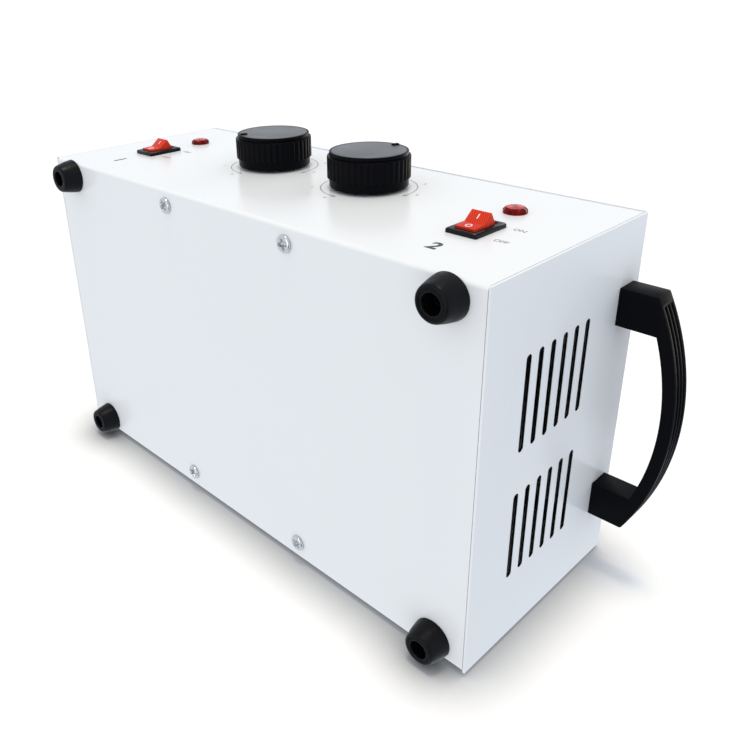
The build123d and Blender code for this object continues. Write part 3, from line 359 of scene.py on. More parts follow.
def made(name, *surfaces, smooth=35.0):
    """One mesh object from surfaces in millimetres. Doubles are merged, which closes the poles, and the
    faces of each shell are then turned outwards."""
    starts = np.cumsum([0] + [len(points) for points, _ in surfaces])
    points = np.concatenate([points for points, _ in surfaces]) * MM
    faces = [row for start, (_, quads) in zip(starts, surfaces) for row in (quads + start).tolist()]
    mesh = bpy.data.meshes.new(name)
    mesh.from_pydata(points.tolist(), [], faces)
    return closed_piece(name, mesh, smooth)


def closed_piece(name, mesh, smooth=30.0):
    """An object from a mesh whose doubles are merged, normals turned outwards and edges kept crisp past
    an angle."""
    shell = bmesh.new()
    shell.from_mesh(mesh)
    bmesh.ops.remove_doubles(shell, verts=shell.verts, dist=MERGE)
    bmesh.ops.recalc_face_normals(shell, faces=shell.faces)
    shell.to_mesh(mesh)
    shell.free()
    mesh.shade_smooth()
    mesh.set_sharp_from_angle(angle=radians(smooth))
    piece = bpy.data.objects.new(name, mesh)
    bpy.context.scene.collection.objects.link(piece)
    return piece


def soften(node, width, name, body, slot, segments=2):
    """Stands a copy of a solid in for it: its loose triangles merged, flat faces joined and its sharp
    edges rounded."""
    flat, sharp = radians(1), radians(32)
    shell = bmesh.new()
    shell.from_mesh(frame["nodes"][node].data)
    bmesh.ops.remove_doubles(shell, verts=shell.verts, dist=MERGE)
    bmesh.ops.dissolve_limit(shell, angle_limit=flat, verts=shell.verts, edges=shell.edges)
    edges = [edge for edge in shell.edges if edge.is_manifold and edge.calc_face_angle() > sharp]
    bmesh.ops.bevel(shell, geom=edges, offset=width * MM, segments=segments, profile=0.5,
                    affect="EDGES", clamp_overlap=True)
    mesh = bpy.data.meshes.new(name)
    shell.to_mesh(mesh)
    shell.free()
    fit(closed_piece(name, mesh), body, slot, node)


def lettering(text, height, place, thickness, bold=0.0):
    """Words as a raised print: the built-in letters, made a mesh, centred on the place."""
    words = bpy.data.curves.new("words", "FONT")
    words.body = text
    words.size = height / CAPITAL * MM
    words.extrude = thickness / 2 * MM
    words.offset = bold * words.size
    words.resolution_u = 4
    words.align_x = "CENTER"
    holder = bpy.data.objects.new("words", words)
    bpy.context.scene.collection.objects.link(holder)
    bpy.context.view_layer.update()
    flat = bpy.data.meshes.new_from_object(holder)
    bpy.data.objects.remove(holder)
    points = np.empty(len(flat.vertices) * 3)
    flat.vertices.foreach_get("co", points)
    points = points.reshape(-1, 3) / MM + np.array([0, -height / 2, thickness / 2])
    flat.vertices.foreach_set("co", (placed(points, place) * MM).ravel())
    return flat


def print_piece(name, meshes):
    """One object from several printed meshes."""
    shell = bmesh.new()
    for mesh in meshes:
        shell.from_mesh(mesh)
        bpy.data.meshes.remove(mesh)
    joined = bpy.data.meshes.new(name)
    shell.to_mesh(joined)
    shell.free()
    return closed_piece(name, joined)


def fit(piece, body, slot, *nodes, look=None):
    """A finished piece takes the finish of its slot, or the look that is named, rides on its body and
    stands for its nodes."""
    piece.data.materials.clear()
    piece.data.materials.append(finish_for(look or slot))
    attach(piece, body)
    if nodes:
        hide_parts(*nodes)


def box(node):
    """Lowest and highest corner of a solid in millimetres."""
    low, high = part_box(node)
    return np.array(low) / MM, np.array(high) / MM


def upright(node):
    """A round solid's place on its upright axis at height 0, its radius, and how low and high it goes."""
    low, high = box(node)
    middle = (low + high) / 2
    return facing("up", (middle[0], middle[1], 0)), (high[0] - low[0]) / 2, low[2], high[2]


def joint(name):
    """A joint of the record by its name."""
    return next(entry for entry in frame["joints"] if entry["name"] == name)


def pivot(name):
    """Where a joint's axis is, in millimetres."""
    return np.array(joint(name)["pos_m"]) / MM


def mm(size):
    """A length property in millimetres."""
    return size / MM


# Node groups


def node_group(name, inputs, outputs):
    """A new node group, the sockets that it is given and those that it puts out. An input's kind comes
    from its default, which is a number, a vector of three or a colour of four."""
    tree = bpy.data.node_groups.new(name, "ShaderNodeTree")
    for label, default in inputs.items():
        kind = "Float" if isinstance(default, float) else {3: "Vector", 4: "Color"}[len(default)]
        socket = tree.interface.new_socket(label, in_out="INPUT", socket_type=f"NodeSocket{kind}")
        socket.default_value = default
    for label, kind in outputs.items():
        tree.interface.new_socket(label, in_out="OUTPUT", socket_type=f"NodeSocket{kind}")
    return tree, tree.nodes.new("NodeGroupInput").outputs, tree.nodes.new("NodeGroupOutput").inputs


def maths(tree, operation, *values):
    """A Math node whose inputs are sockets or numbers."""
    node = tree.nodes.new("ShaderNodeMath")
    node.operation = operation
    for socket, value in zip(node.inputs, values):
        if isinstance(value, (int, float)):
            socket.default_value = value
        else:
            tree.links.new(value, socket)
    return node.outputs[0]


def object_point(tree):
    """The socket of Object coordinates."""
    return tree.nodes.new("ShaderNodeTexCoord").outputs["Object"]


def axes(tree):
    """The X, Y and Z sockets of Object coordinates."""
    node = tree.nodes.new("ShaderNodeSeparateXYZ")
    tree.links.new(object_point(tree), node.inputs[0])
    return node.outputs


def cloud(tree, size, detail):
    """Noise whose features have a size in millimetres, from a socket."""
    node = tree.nodes.new("ShaderNodeTexNoise")
    node.inputs["Detail"].default_value = detail
    tree.links.new(object_point(tree), node.inputs["Vector"])
    tree.links.new(maths(tree, "DIVIDE", 1 / MM, size), node.inputs["Scale"])
    return node.outputs["Fac"]


def mapped(tree, value, low, high):
    """A Map Range node that carries the run from low to high to its own, at first from 0 to 1."""
    node = tree.nodes.new("ShaderNodeMapRange")
    node.inputs["From Min"].default_value = low
    node.inputs["From Max"].default_value = high
    tree.links.new(value, node.inputs["Value"])
    return node


def mixed(tree, factor, first, second):
    """A Mix node from a first colour to a second one, each a socket or a plain colour."""
    node = tree.nodes.new("ShaderNodeMix")
    node.data_type = "RGBA"
    tree.links.new(factor, node.inputs["Factor"])
    for socket, colour in zip((node.inputs[6], node.inputs[7]), (first, second)):
        if isinstance(colour, tuple):
            socket.default_value = (*colour, 1)
        else:
            tree.links.new(colour, socket)
    return node.outputs[2]


def bump(tree, height, rise):
    """A Bump node at full strength, with its rise in millimetres from a socket."""
    node = tree.nodes.new("ShaderNodeBump")
    tree.links.new(height, node.inputs["Height"])
    tree.links.new(maths(tree, "MULTIPLY", rise, MM), node.inputs["Distance"])
    return node.outputs["Normal"]


def grain_group():
    """Fine grain: noise whose features have a size in millimetres, raised by a height in millimetres."""
    tree, given, out = node_group("Fine grain", {"Size": 0.5, "Height": 0.005}, {"Normal": "Vector"})
    tree.links.new(bump(tree, cloud(tree, given["Size"], 3.0), given["Height"]), out[0])
    return tree


def patches_group():
    """Broad patches: slow noise, mostly from 0.3 to 0.7, mapped to a value from low to high."""
    tree, given, out = node_group(
        "Broad patches", {"Size": 30.0, "Low": 0.2, "High": 0.3}, {"Value": "Float"}
    )
    spread = mapped(tree, cloud(tree, given["Size"], 5.0), 0.3, 0.7)
    tree.links.new(given["Low"], spread.inputs["To Min"])
    tree.links.new(given["High"], spread.inputs["To Max"])
    tree.links.new(spread.outputs[0], out[0])
    return tree


def tones_group():
    """Two tones: a first and a second colour mixed by slow noise."""
    tree, given, out = node_group(
        "Two tones", {"Size": 30.0, "First": (1, 1, 1, 1), "Second": (0.9, 0.9, 0.9, 1)}, {"Color": "Color"}
    )
    tree.links.new(mixed(tree, cloud(tree, given["Size"], 4.0), given["First"], given["Second"]), out[0])
    return tree


def spun_group():
    """Spun lines: noise of radius plus height about the nearer well's axis over a pitch, as a bump. The
    radius is the square root of (|x| - across) squared plus (y - back) squared."""
    tree, given, out = node_group(
        "Spun lines", {"Pitch": 0.6, "Height": 0.01, "Well across": 0.072, "Well back": 0.02},
        {"Normal": "Vector"},
    )
    x, y, z = axes(tree)
    across = maths(tree, "SUBTRACT", maths(tree, "ABSOLUTE", x), given["Well across"])
    back = maths(tree, "SUBTRACT", y, given["Well back"])
    squares = [maths(tree, "MULTIPLY", part, part) for part in (across, back)]
    reach = maths(tree, "ADD", maths(tree, "SQRT", maths(tree, "ADD", *squares)), z)
    lines = tree.nodes.new("ShaderNodeTexNoise")
    lines.noise_dimensions = "1D"
    lines.inputs["Scale"].default_value = 1.0
    lines.inputs["Detail"].default_value = 2.0
    pitch = maths(tree, "MULTIPLY", given["Pitch"], MM)
    tree.links.new(maths(tree, "DIVIDE", reach, pitch), lines.inputs["W"])
    tree.links.new(bump(tree, lines.outputs["Fac"], given["Height"]), out[0])
    return tree


def shell_group():
    """Outer shell: 1 where |max(|p - centre| - core, 0)| is over 0, so outside a box, and 0 in it."""
    tree, given, out = node_group(
        "Outer shell", {"Centre": (0, 0, 0), "Core": (0.1, 0.1, 0.1)}, {"Mask": "Float"}
    )
    place = object_point(tree)
    for operation, other in (
        ("SUBTRACT", "Centre"), ("ABSOLUTE", None), ("SUBTRACT", "Core"), ("MAXIMUM", None),
        ("LENGTH", None),
    ):
        node = tree.nodes.new("ShaderNodeVectorMath")
        node.operation = operation
        tree.links.new(place, node.inputs[0])
        if other:
            tree.links.new(given[other], node.inputs[1])
        place = node.outputs[0]
    tree.links.new(maths(tree, "GREATER_THAN", node.outputs["Value"], 0), out[0])
    return tree


def cells_group():
    """Moulded cells: sin x sin z of a pitch in millimetres, whose run from -0.1 to 0.6 gives a mask."""
    tree, given, out = node_group("Moulded cells", {"Pitch": 0.9}, {"Mask": "Float"})
    x, _, z = axes(tree)
    turns = maths(tree, "DIVIDE", 2 * pi / MM, given["Pitch"])
    waves = [maths(tree, "SINE", maths(tree, "MULTIPLY", axis, turns)) for axis in (x, z)]
    tree.links.new(mapped(tree, maths(tree, "MULTIPLY", *waves), -0.1, 0.6).outputs[0], out[0])
    return tree


GROUPS = {
    "Fine grain": grain_group, "Broad patches": patches_group, "Two tones": tones_group,
    "Spun lines": spun_group, "Outer shell": shell_group, "Moulded cells": cells_group,
}


# Finishes


def use(tree, group, **values):
    """A group node with numbers or colours on its sockets."""
    node = tree.nodes.new("ShaderNodeGroup")
    node.node_tree = bpy.data.node_groups.get(group) or GROUPS[group]()
    for label, value in values.items():
        node.inputs[label].default_value = value
    return node


def feed(material, label, source):
    """Links a socket of a material's Principled shader to its source."""
    tree = material.node_tree
    tree.links.new(source, tree.nodes["Principled BSDF"].inputs[label])


def finish(name, colour, roughness, grain=None, patches=None, tones=None, **sockets):
    """A Principled material. grain is (size, height), patches (size, low, high) for its roughness and
    tones (size, share) for a second, darker tone of its colour."""
    material = bpy.data.materials.new(f"{name}_finish")
    material.use_nodes = True
    material.diffuse_color = (*colour, 1)
    tree = material.node_tree
    shader = tree.nodes["Principled BSDF"].inputs
    shader["Base Color"].default_value = (*colour, 1)
    shader["Roughness"].default_value = roughness
    for label, value in sockets.items():
        shader[label.replace("_", " ")].default_value = value
    if grain:
        node = use(tree, "Fine grain", Size=grain[0], Height=grain[1])
        feed(material, "Normal", node.outputs["Normal"])
    if patches:
        node = use(tree, "Broad patches", Size=patches[0], Low=patches[1], High=patches[2])
        feed(material, "Roughness", node.outputs["Value"])
    if tones:
        darker = tuple(part * tones[1] for part in colour)
        node = use(tree, "Two tones", Size=tones[0], First=(*colour, 1), Second=(*darker, 1))
        feed(material, "Base Color", node.outputs["Color"])
    return material


def white_case(colours):
    """Gloss white powder coat with a faint orange peel, and near-black painted shade on the inner faces."""
    material = finish("white_case", tuple(colours.case), 0.2, grain=(1.6, 0.006), patches=(45, 0.16, 0.26),
                      tones=(80, 0.985), IOR=1.35)
    tree = material.node_tree
    corners = box("chassis") + box("cover")
    low, high = np.min(corners, axis=0), np.max(corners, axis=0)
    core = (high - low) / 2 - (SKIN, EDGE, EDGE)
    shell = use(tree, "Outer shell", Centre=(low + high) / 2 * MM, Core=core * MM)
    coat = tree.nodes["Principled BSDF"].inputs["Base Color"].links[0].from_socket
    # Inside the shell the inner faces take the near-black painted shade, so vents and seams read as shaded
    feed(material, "Base Color", mixed(tree, shell.outputs["Mask"], tuple(colours.primer), coat))
    return material


def celled(name, red, roughness, pitch):
    """A clear red moulding whose inner face is cut in cells, some darker and some lighter."""
    material = finish(name, red, roughness, patches=(6, roughness * 0.7, roughness * 1.4), IOR=1.15)
    tree = material.node_tree
    cells = use(tree, "Moulded cells", Pitch=pitch)
    dark, light = (tuple(min(part * share, 1) for part in red) for share in CELL_SHARES)
    feed(material, "Base Color", mixed(tree, cells.outputs["Mask"], dark, light))
    return material


def spun(name, colour, roughness, pitch, height):
    """A metal with fine lines turned about each well's axis."""
    patches = (25, roughness * 0.85, roughness * 1.2)
    material = finish(name, colour, roughness, patches=patches, Metallic=1.0)
    lines = use(material.node_tree, "Spun lines", Pitch=pitch, Height=height)
    feed(material, "Normal", lines.outputs["Normal"])
    return material


def plain_finishes(colours):
    """Colour, roughness and detail of the finishes that need no more than that."""
    return {
        # Moulded rubber, dull, with a fine tooth and shinier rubbed places
        "black_rubber": (colours.rubber, 0.4,
                         dict(grain=(0.7, 0.02), patches=(4, 0.22, 0.5), tones=(5, 0.7), IOR=1.22)),
        # Bright chrome plate, with darker patches that are a painted reflection of dark surroundings
        "chrome": ((0.78, 0.79, 0.8), 0.08,
                   dict(grain=(1.2, 0.003), patches=(4, 0.05, 0.14), tones=(1.6, 0.55), Metallic=1.0)),
        # Black oxide on steel; its near-black also serves as painted shade in the feet's bores
        "black_oxide": (colours.black, 0.4, dict(patches=(2, 0.3, 0.5), IOR=1.1)),
        # Dull zinc plate with its spangle
        "zinc_steel": ((0.62, 0.63, 0.65), 0.4,
                       dict(patches=(6, 0.3, 0.5), tones=(4, 0.88), Metallic=1.0)),
        # Satin black moulding with a fine texture
        "black_handle": (colours.black, 0.4,
                         dict(grain=(0.35, 0.006), patches=(18, 0.34, 0.46), tones=(25, 0.8), IOR=1.1)),
        # Gloss black moulding
        "black_gloss": (colours.black, 0.2, dict(grain=(2.5, 0.004), patches=(12, 0.14, 0.26), IOR=1.25)),
        # Black moulding of the knobs
        "black_knob": (colours.black, 0.3,
                       dict(grain=(0.5, 0.003), patches=(10, 0.24, 0.36), tones=(12, 0.8), IOR=1.1)),
        # Smooth dark grey cap, printed rather than moulded
        "knob_cap": (colours.cap, 0.34,
                     dict(grain=(0.4, 0.003), patches=(14, 0.3, 0.4), tones=(20, 0.93), IOR=1.36)),
        # Mill finish steel
        "band_steel": ((0.55, 0.55, 0.55), 0.42,
                       dict(patches=(10, 0.34, 0.5), tones=(8, 0.8), Metallic=1.0)),
        # Bright brass
        "brass": ((0.78, 0.62, 0.34), 0.25, dict(patches=(4, 0.2, 0.34), tones=(3, 0.9), Metallic=1.0)),
        # Drawn copper
        "copper": ((0.72, 0.4, 0.26), 0.3, dict(patches=(5, 0.24, 0.4), tones=(4, 0.85), Metallic=1.0)),
        # Unglazed ceramic
        "ceramic": ((0.8, 0.78, 0.73), 0.7, dict(grain=(0.3, 0.02), tones=(4, 0.93))),
        # Silicone insulation
        "red_lead": ((0.55, 0.08, 0.06), 0.45, dict(grain=(0.8, 0.01), tones=(9, 0.85))),
        # Black print, grey print and white paint
        "dark_ink": (colours.ink, 0.45, dict(grain=(0.2, 0.002), tones=(0.8, 0.8))),
        "dial_ink": (colours.dial, 0.45, dict(grain=(0.2, 0.002), tones=(0.8, 0.85))),
        "white_mark": (colours.mark, 0.4, dict(grain=(0.2, 0.002), tones=(0.6, 0.94))),
    }


def finish_for(name):
    """The material of a slot or a named finish, made the first time that it is asked for."""
    known = bpy.data.materials.get(f"{name}_finish")
    if known:
        return known
    colours = bpy.context.scene.warmer_colours
    patterned = {
        "red_lens": (celled, tuple(colours.red), 0.2, 0.9),
        "lamp_painted_shade": (celled, tuple(colours.lamp), 0.14, 3.6),
        "lamp_painted_highlight": (celled, tuple(colours.table), 0.1, 7.0),
        "spun_aluminium": (spun, (0.8, 0.8, 0.81), 0.3, 0.5, 0.012),
        "bright_steel": (spun, (0.76, 0.77, 0.78), 0.16, 0.8, 0.003),
    }
    if name == "white_case":
        return white_case(colours)
    if name in patterned:
        maker, *values = patterned[name]
        return maker(name, *values)
    colour, roughness, detail = plain_finishes(colours)[name]
    return finish(name, tuple(colour), roughness, **detail)


# What each operator makes


def dress_solids():
    """Each solid gets the finish of its slot."""
    for entry in frame["record"]["subparts"]:
        solid = frame["nodes"][entry["node"]]
        solid.data.materials.clear()
        solid.data.materials.append(finish_for(entry["material_slot"]))


def dress_feet(sizes):
    """Rubber feet: a cone with a rounded tip and a bore, turned, whose side swells by the bulge times
    sin(pi h / H)."""
    taper, hole_r, tip_edge, base_edge, lip, nook, longest = 2.1, 2.2, 1.1, 0.35, 0.5, 0.3, 1.2
    for end in ("front", "back"):
        for side in SIDES:
            node = f"foot_{end}_{side}"
            place, base_r, low, high = upright(node)
            place[3, 2], tall = low, high - low
            outline = divided(rounded([
                (hole_r, tall, 0), (base_r, tall, base_edge), (base_r - taper, 0, tip_edge),
                (BORE_R, 0, lip), (BORE_R, BORE_DEPTH, nook), (hole_r, BORE_DEPTH, 0),
            ], closed=True), longest)
            swell = mm(sizes.foot_bulge) * np.sin(pi * outline[:, 1] / tall)
            outline[:, 0] += np.where(outline[:, 0] > base_r - taper - 0.2, swell, 0)
            piece = made(f"{node}_rubber", turned(outline, place, 96, closed=True))
            fit(piece, "case", "black_rubber", node)


def corner_places(node, side, level, turn=0.6):
    """Places at the corners of a solid's box, a head's radius in, each turned a little more than the
    last."""
    low, high = box(node)
    head_r = SCREWS[node][2]
    flat, normal = {"down": ((0, 1), 2), "back": ((0, 2), 1)}[side]
    places = []
    for first in (low[flat[0]] + head_r, high[flat[0]] - head_r):
        for second in (low[flat[1]] + head_r, high[flat[1]] - head_r):
            centre = np.zeros(3)
            centre[flat[0]], centre[flat[1]], centre[normal] = first, second, level
            places.append(facing(side, centre, turn * (len(places) + 1)))
    return places


def dress_screws(sizes):
    """The screws that show: underside, feet, back and inlet."""
    (_, _, floor), (_, back, _) = box("chassis")
    foot_seat = box("foot_screws")[0][2] + SCREWS["foot_screws"][3]
    low, high = box("inlet_screws")
    inlet_r, inlet_head = SCREWS["inlet_screws"][2:4]
    places = {
        "base_screws": corner_places("base_screws", "down", floor),
        "foot_screws": corner_places("foot_screws", "down", foot_seat),
        "cover_screws": corner_places("cover_screws", "back", back),
        "inlet_screws": [
            facing("back", (x, high[1] - inlet_head, (low[2] + high[2]) / 2), turn)
            for x, turn in ((low[0] + inlet_r, 0.4), (high[0] - inlet_r, 1.1))
        ],
    }
    depth, thread = mm(sizes.recess_depth), mm(sizes.thread_depth)
    for node, (name, slot, *build) in SCREWS.items():
        screws = [pan_screw(*build, place, depth, thread) for place in places[node]]
        fit(made(name, *screws), "case", slot, node)


def dress_knobs(sizes):
    """Knobs turned with a grooved grip, a neck and a rimmed top, each with its pointer and smooth cap."""
    front = box("chassis")[0][1]
    hub_r, skirt_r, grip_r, neck_r, rim_r, cap_r = 12.0, 19.0, 20.0, 18.4, 18.9, 17.95
    hollow, low, neck_top, sunk, pointer_r = 4.4, 1.0, 16.3, KNOB_FACE - 0.6, 16.0
    disc_r, line_r, disc_low, line_low = 17.85, 16.9, KNOB_FACE - 0.55, KNOB_FACE - 0.09
    nub_long, nub_wide, nub_corner, nub_edge, nub_top = 1.8, 1.2, 0.5, 0.4, KNOB_FACE + 0.75

    def groove(angle, height):
        """Narrow grooves: the square of a raised cosine, only along the grip."""
        wave = (0.5 + 0.5 * np.cos(sizes.rib_count * angle)) ** 2
        inside = (height > KNOB_SHELF + 0.25) & (height < GRIP_TOP - 0.25)
        return np.where(inside, -mm(sizes.rib_depth) * wave, 0)

    outline = rounded([
        (0, hollow, 0), (hub_r, hollow, 0.3), (hub_r, low, 0.3), (skirt_r, low, 0.5),
        (skirt_r, KNOB_SHELF, 0.1), (grip_r, KNOB_SHELF, 0.35), (grip_r, GRIP_TOP, 0.5),
        (neck_r, GRIP_TOP, 0.15), (neck_r, neck_top, 0.1), (rim_r, neck_top, 0.15),
        (rim_r, KNOB_FACE, 0.45), (cap_r, KNOB_FACE, 0.12), (cap_r, sunk, 0), (0, sunk, 0),
    ])
    disc = rounded([
        (0, disc_low, 0), (disc_r, disc_low, 0), (disc_r, KNOB_FACE, 0.12),
        (line_r + 0.2, KNOB_FACE, 0.03), (line_r + 0.1, line_low, 0.03), (line_r - 0.1, line_low, 0.03),
        (line_r - 0.2, KNOB_FACE, 0.03), (0, KNOB_FACE + 0.02, 0),
    ])
    for side in SIDES:
        x, _, z = pivot(f"knob_{side}_turn")
        place = facing("front", (x, front, z), radians(POINTER[side]))
        nub_place = place.copy()
        nub_place[3] = place[3] + pointer_r * place[0]
        nub = pillow(nub_long, nub_wide, nub_corner, sunk, nub_top, nub_edge, nub_place)
        grip = turned(outline, place, 12 * sizes.rib_count, groove)
        knob = made(f"knob_{side}_grip", grip, nub, smooth=28)
        fit(knob, f"knob_{side}", "black_knob", f"knob_{side}")
        cap = made(f"knob_{side}_cap", turned(disc, place, 128))
        fit(cap, f"knob_{side}", "knob_cap", f"knob_cap_{side}")


def dress_switches():
    """Switch housings and rockers with softened edges, and the I and O on each rocker's two halves."""
    tilt, slope = radians(ROCKER_TILT), radians(ROCKER_SLOPE)
    along, out = np.array([0, -sin(tilt), cos(tilt)]), np.array([0, -cos(tilt), -sin(tilt)])
    reach, stroke, ring_r, ring_share, bezel_edge, rocker_edge = 3.3, 1.2, 1.4, 0.85, 0.25, 0.45
    stroke_section, ring_section = (rectangle(half_wide, 0.06, 0.02, 2) for half_wide in (0.24, 0.26))
    for side in SIDES:
        rocker = f"rocker_{side}"
        soften(f"switch_housing_{side}", bezel_edge, f"switch_{side}_bezel", "case", "black_gloss")
        soften(rocker, rocker_edge, f"{rocker}_red", rocker, "red_lens", segments=3)
        marks = []
        for half in (1, -1):
            run = cos(slope) * along + half * sin(slope) * out
            normal = cos(slope) * out - half * sin(slope) * along
            rise = ROCKER_VALLEY + reach * tan(slope)
            centre = pivot(f"{rocker}_tilt") + rise * out + half * reach * along
            place = np.array([np.cross(run, normal), run, normal, centre])
            if half > 0:
                path = flat_path(np.linspace((0, -stroke), (0, stroke), 7), place)
                marks.append(carried(stroke_section, path, normal))
            else:
                path = flat_path(arc((0, 0), ring_r, 0, 350, 36) * (ring_share, 1), place)
                marks.append(carried(ring_section, path, normal, closed=True))
        fit(made(f"{rocker}_marks", *marks), rocker, "red_lens", look="white_mark")


def dress_lamps(sizes):
    """Lamp lenses turned with twelve flats: the side's radius is less by a depth times |sin 6a|."""
    stem_r, stem, brow, gap, table_sunk, table_edge = 3.6, -9.0, 1.0, 0.2, 0.35, 0.1
    front = box("chassis")[0][1]

    def flats(angle, height):
        """Flats only on the part in front of the panel."""
        return np.where(height > 0.1, -mm(sizes.facet) * np.abs(np.sin(6 * angle)), 0)

    for side in SIDES:
        low, high = box(f"lamp_lens_{side}")
        middle, reach, tall = (low + high) / 2, (high[0] - low[0]) / 2, front - low[1]
        shelf, place = reach - brow, facing("front", (middle[0], front, middle[2]))
        sides = rounded([
            (0, stem, 0), (stem_r, stem, 0.2), (stem_r, 0, 0.05), (reach, 0, 0.1),
            (reach, tall - brow, 0.25), (shelf, tall - gap, 0.2), (0, tall - 0.3, 0),
        ])
        lens = made(f"lamp_{side}_lens", turned(sides, place, 144, flats), smooth=18)
        # The lens's sides take the darker red: painted shade
        fit(lens, "case", "red_lens", f"lamp_lens_{side}", look="lamp_painted_shade")
        table_r, table_low = shelf - gap, tall - table_sunk
        top = rounded([
            (0, table_low, 0), (table_r, table_low, 0), (table_r, tall - table_edge, table_edge),
            (0, tall, 0),
        ])
        # The flat top is a separate disc of lighter red: a painted highlight
        table = made(f"lamp_{side}_table", turned(top, place, 144, flats))
        fit(table, "case", "red_lens", look="lamp_painted_highlight")


def dial_band(place, sizes):
    """A flat band along an arc round a knob, with an arrowhead past each end."""
    radius, ink, head_long, head_wide = mm(sizes.dial_r), mm(sizes.ink), 3.0, 0.95
    section = rectangle(mm(sizes.dial_line) / 2, ink / 2, ink / 4, 2) + (0, ink / 2)
    surfaces = [carried(section, flat_path(arc((0, 0), radius, 0, DIAL_END, 90), place), place[2])]
    for angle, step in ((0, -1), (DIAL_END, 1)):
        across = np.array([cos(radians(angle)), sin(radians(angle))])
        on = np.array([-across[1], across[0]]) * step
        spot = across * radius
        head = spot + np.array([on * head_long, across * head_wide, -across * head_wide])[::step]
        surfaces.append(stacked([(head, 0), (head, ink)], place))
    return surfaces


def dress_printing(sizes):
    """Printing on the front: a dial round each knob, its numbers, ON and OFF, and each well's number."""
    front = box("chassis")[0][1]
    ink, small = mm(sizes.ink), mm(sizes.caption)
    number_r, number_height, first_angle, step_angle, numeral_drop = 27.4, 2.2, 7, 43, 25.8
    captions = {"ON": (13.7, 10.4), "OFF": (15.7, -5.6)}
    bands, dials, words = [], [], []
    for number, side in enumerate(SIDES, 1):
        x, _, z = pivot(f"knob_{side}_turn")
        bands += dial_band(facing("front", (x, front, z)), sizes)
        for mark in range(7):
            angle = radians(first_angle + mark * step_angle)
            spot = facing("front", (x + number_r * cos(angle), front, z + number_r * sin(angle)))
            dials.append(lettering(str(6 - mark), number_height, spot, ink))
        x, _, z = pivot(f"rocker_{side}_tilt")
        for word, (across, up) in captions.items():
            dials.append(lettering(word, small, facing("front", (x + across, front, z + up)), ink, 0.01))
        spot = facing("front", (x, front, z - numeral_drop))
        words.append(lettering(str(number), mm(sizes.numeral), spot, ink, 0.03))
    fit(made("dial_lines", *bands), "case", "white_case", look="dial_ink")
    fit(print_piece("dial_numbers", dials), "case", "white_case", look="dial_ink")
    fit(print_piece("front_words", words), "case", "white_case", look="dark_ink")


def dress_handles(sizes):
    """Bow handles with their moulded edges softened."""
    for side in SIDES:
        soften(f"handle_{side}", mm(sizes.edge), f"handle_{side}_bow", "case", "black_handle")


def dress_wells():
    """Wells and pots turned from aluminium: rounded floors, a rounded flange and a rolled rim."""
    flange, sheet, rim_r, wall, floor_r, shoulder, ear_edge = 6.0, 1.2, 1.9, 1.2, 5.0, 4.0, 0.35
    for side in SIDES:
        place, reach, base, top = upright(f"well_{side}")
        outer_r, inner_r, floor_top = reach - flange, reach - flange - sheet, base + sheet
        outline = rounded([
            (0, base, 0), (outer_r, base, floor_r), (outer_r, top - sheet, 0.2),
            (reach, top - sheet, 0.3), (reach, top, 0.6), (inner_r, top, 1.0),
            (inner_r, floor_top, floor_r - sheet), (0, floor_top, 0),
        ])
        well = made(f"well_{side}_spun", turned(outline, place, 128))
        fit(well, "case", "spun_aluminium", f"well_{side}")
        _, reach, base, top = upright(f"pot_{side}")
        bore, brow, floor_top = reach - 2 * rim_r, top - shoulder, base + wall
        bead = arc((bore + rim_r, top - rim_r), rim_r, -112, 180, 22)
        outer = rounded([(0, base, 0), (bore + wall, base, floor_r), (bore + wall, brow, 0)])
        inner = rounded([(bore, brow, 0), (bore, floor_top, floor_r - wall), (0, floor_top, 0)])
        pot = made(f"pot_{side}_spun", turned(np.vstack([outer, bead, inner]), place, 128))
        fit(pot, f"pot_{side}", "spun_aluminium", f"pot_{side}")
        soften(f"pot_ears_{side}", ear_edge, f"pot_{side}_ears", f"pot_{side}", "bright_steel")


def dress_bails():
    """Wire bails: a ring of 20 points carried along two stubs, two tight bends and a half-circle bow."""
    wire_r, bend, bow_r, stub = 1.75, 3.5, 61.5, 3.2
    section = arc((0, 0), wire_r, 0, 360 - 360 / 20, 20)
    for side in SIDES:
        drop = radians((180 - joint(f"bail_{side}_swing")["range_deg"][1]) / 2)
        start = bow_r - bend
        line = np.linspace((-start + stub, 0), (-start, 0), 4)
        turn = arc((-start, -bend), bend, 90, 180, 9)
        half = arc((0, -bend), bow_r, 180, 360, 73)
        last_turn, last_line = (part[::-1] * (-1, 1) for part in (turn, line))
        flat = np.concatenate([line, turn[1:], half[1:-1], last_turn, last_line[1:]])
        tipped = (1, 0, 0), (0, cos(drop), sin(drop)), (0, -sin(drop), cos(drop))
        place = np.array([*tipped, pivot(f"bail_{side}_swing")])
        wire = carried(section, flat_path(flat, place), place[2])
        bail = made(f"bail_{side}_wire", wire, smooth=50)
        fit(bail, f"bail_{side}", "bright_steel", f"bail_{side}")


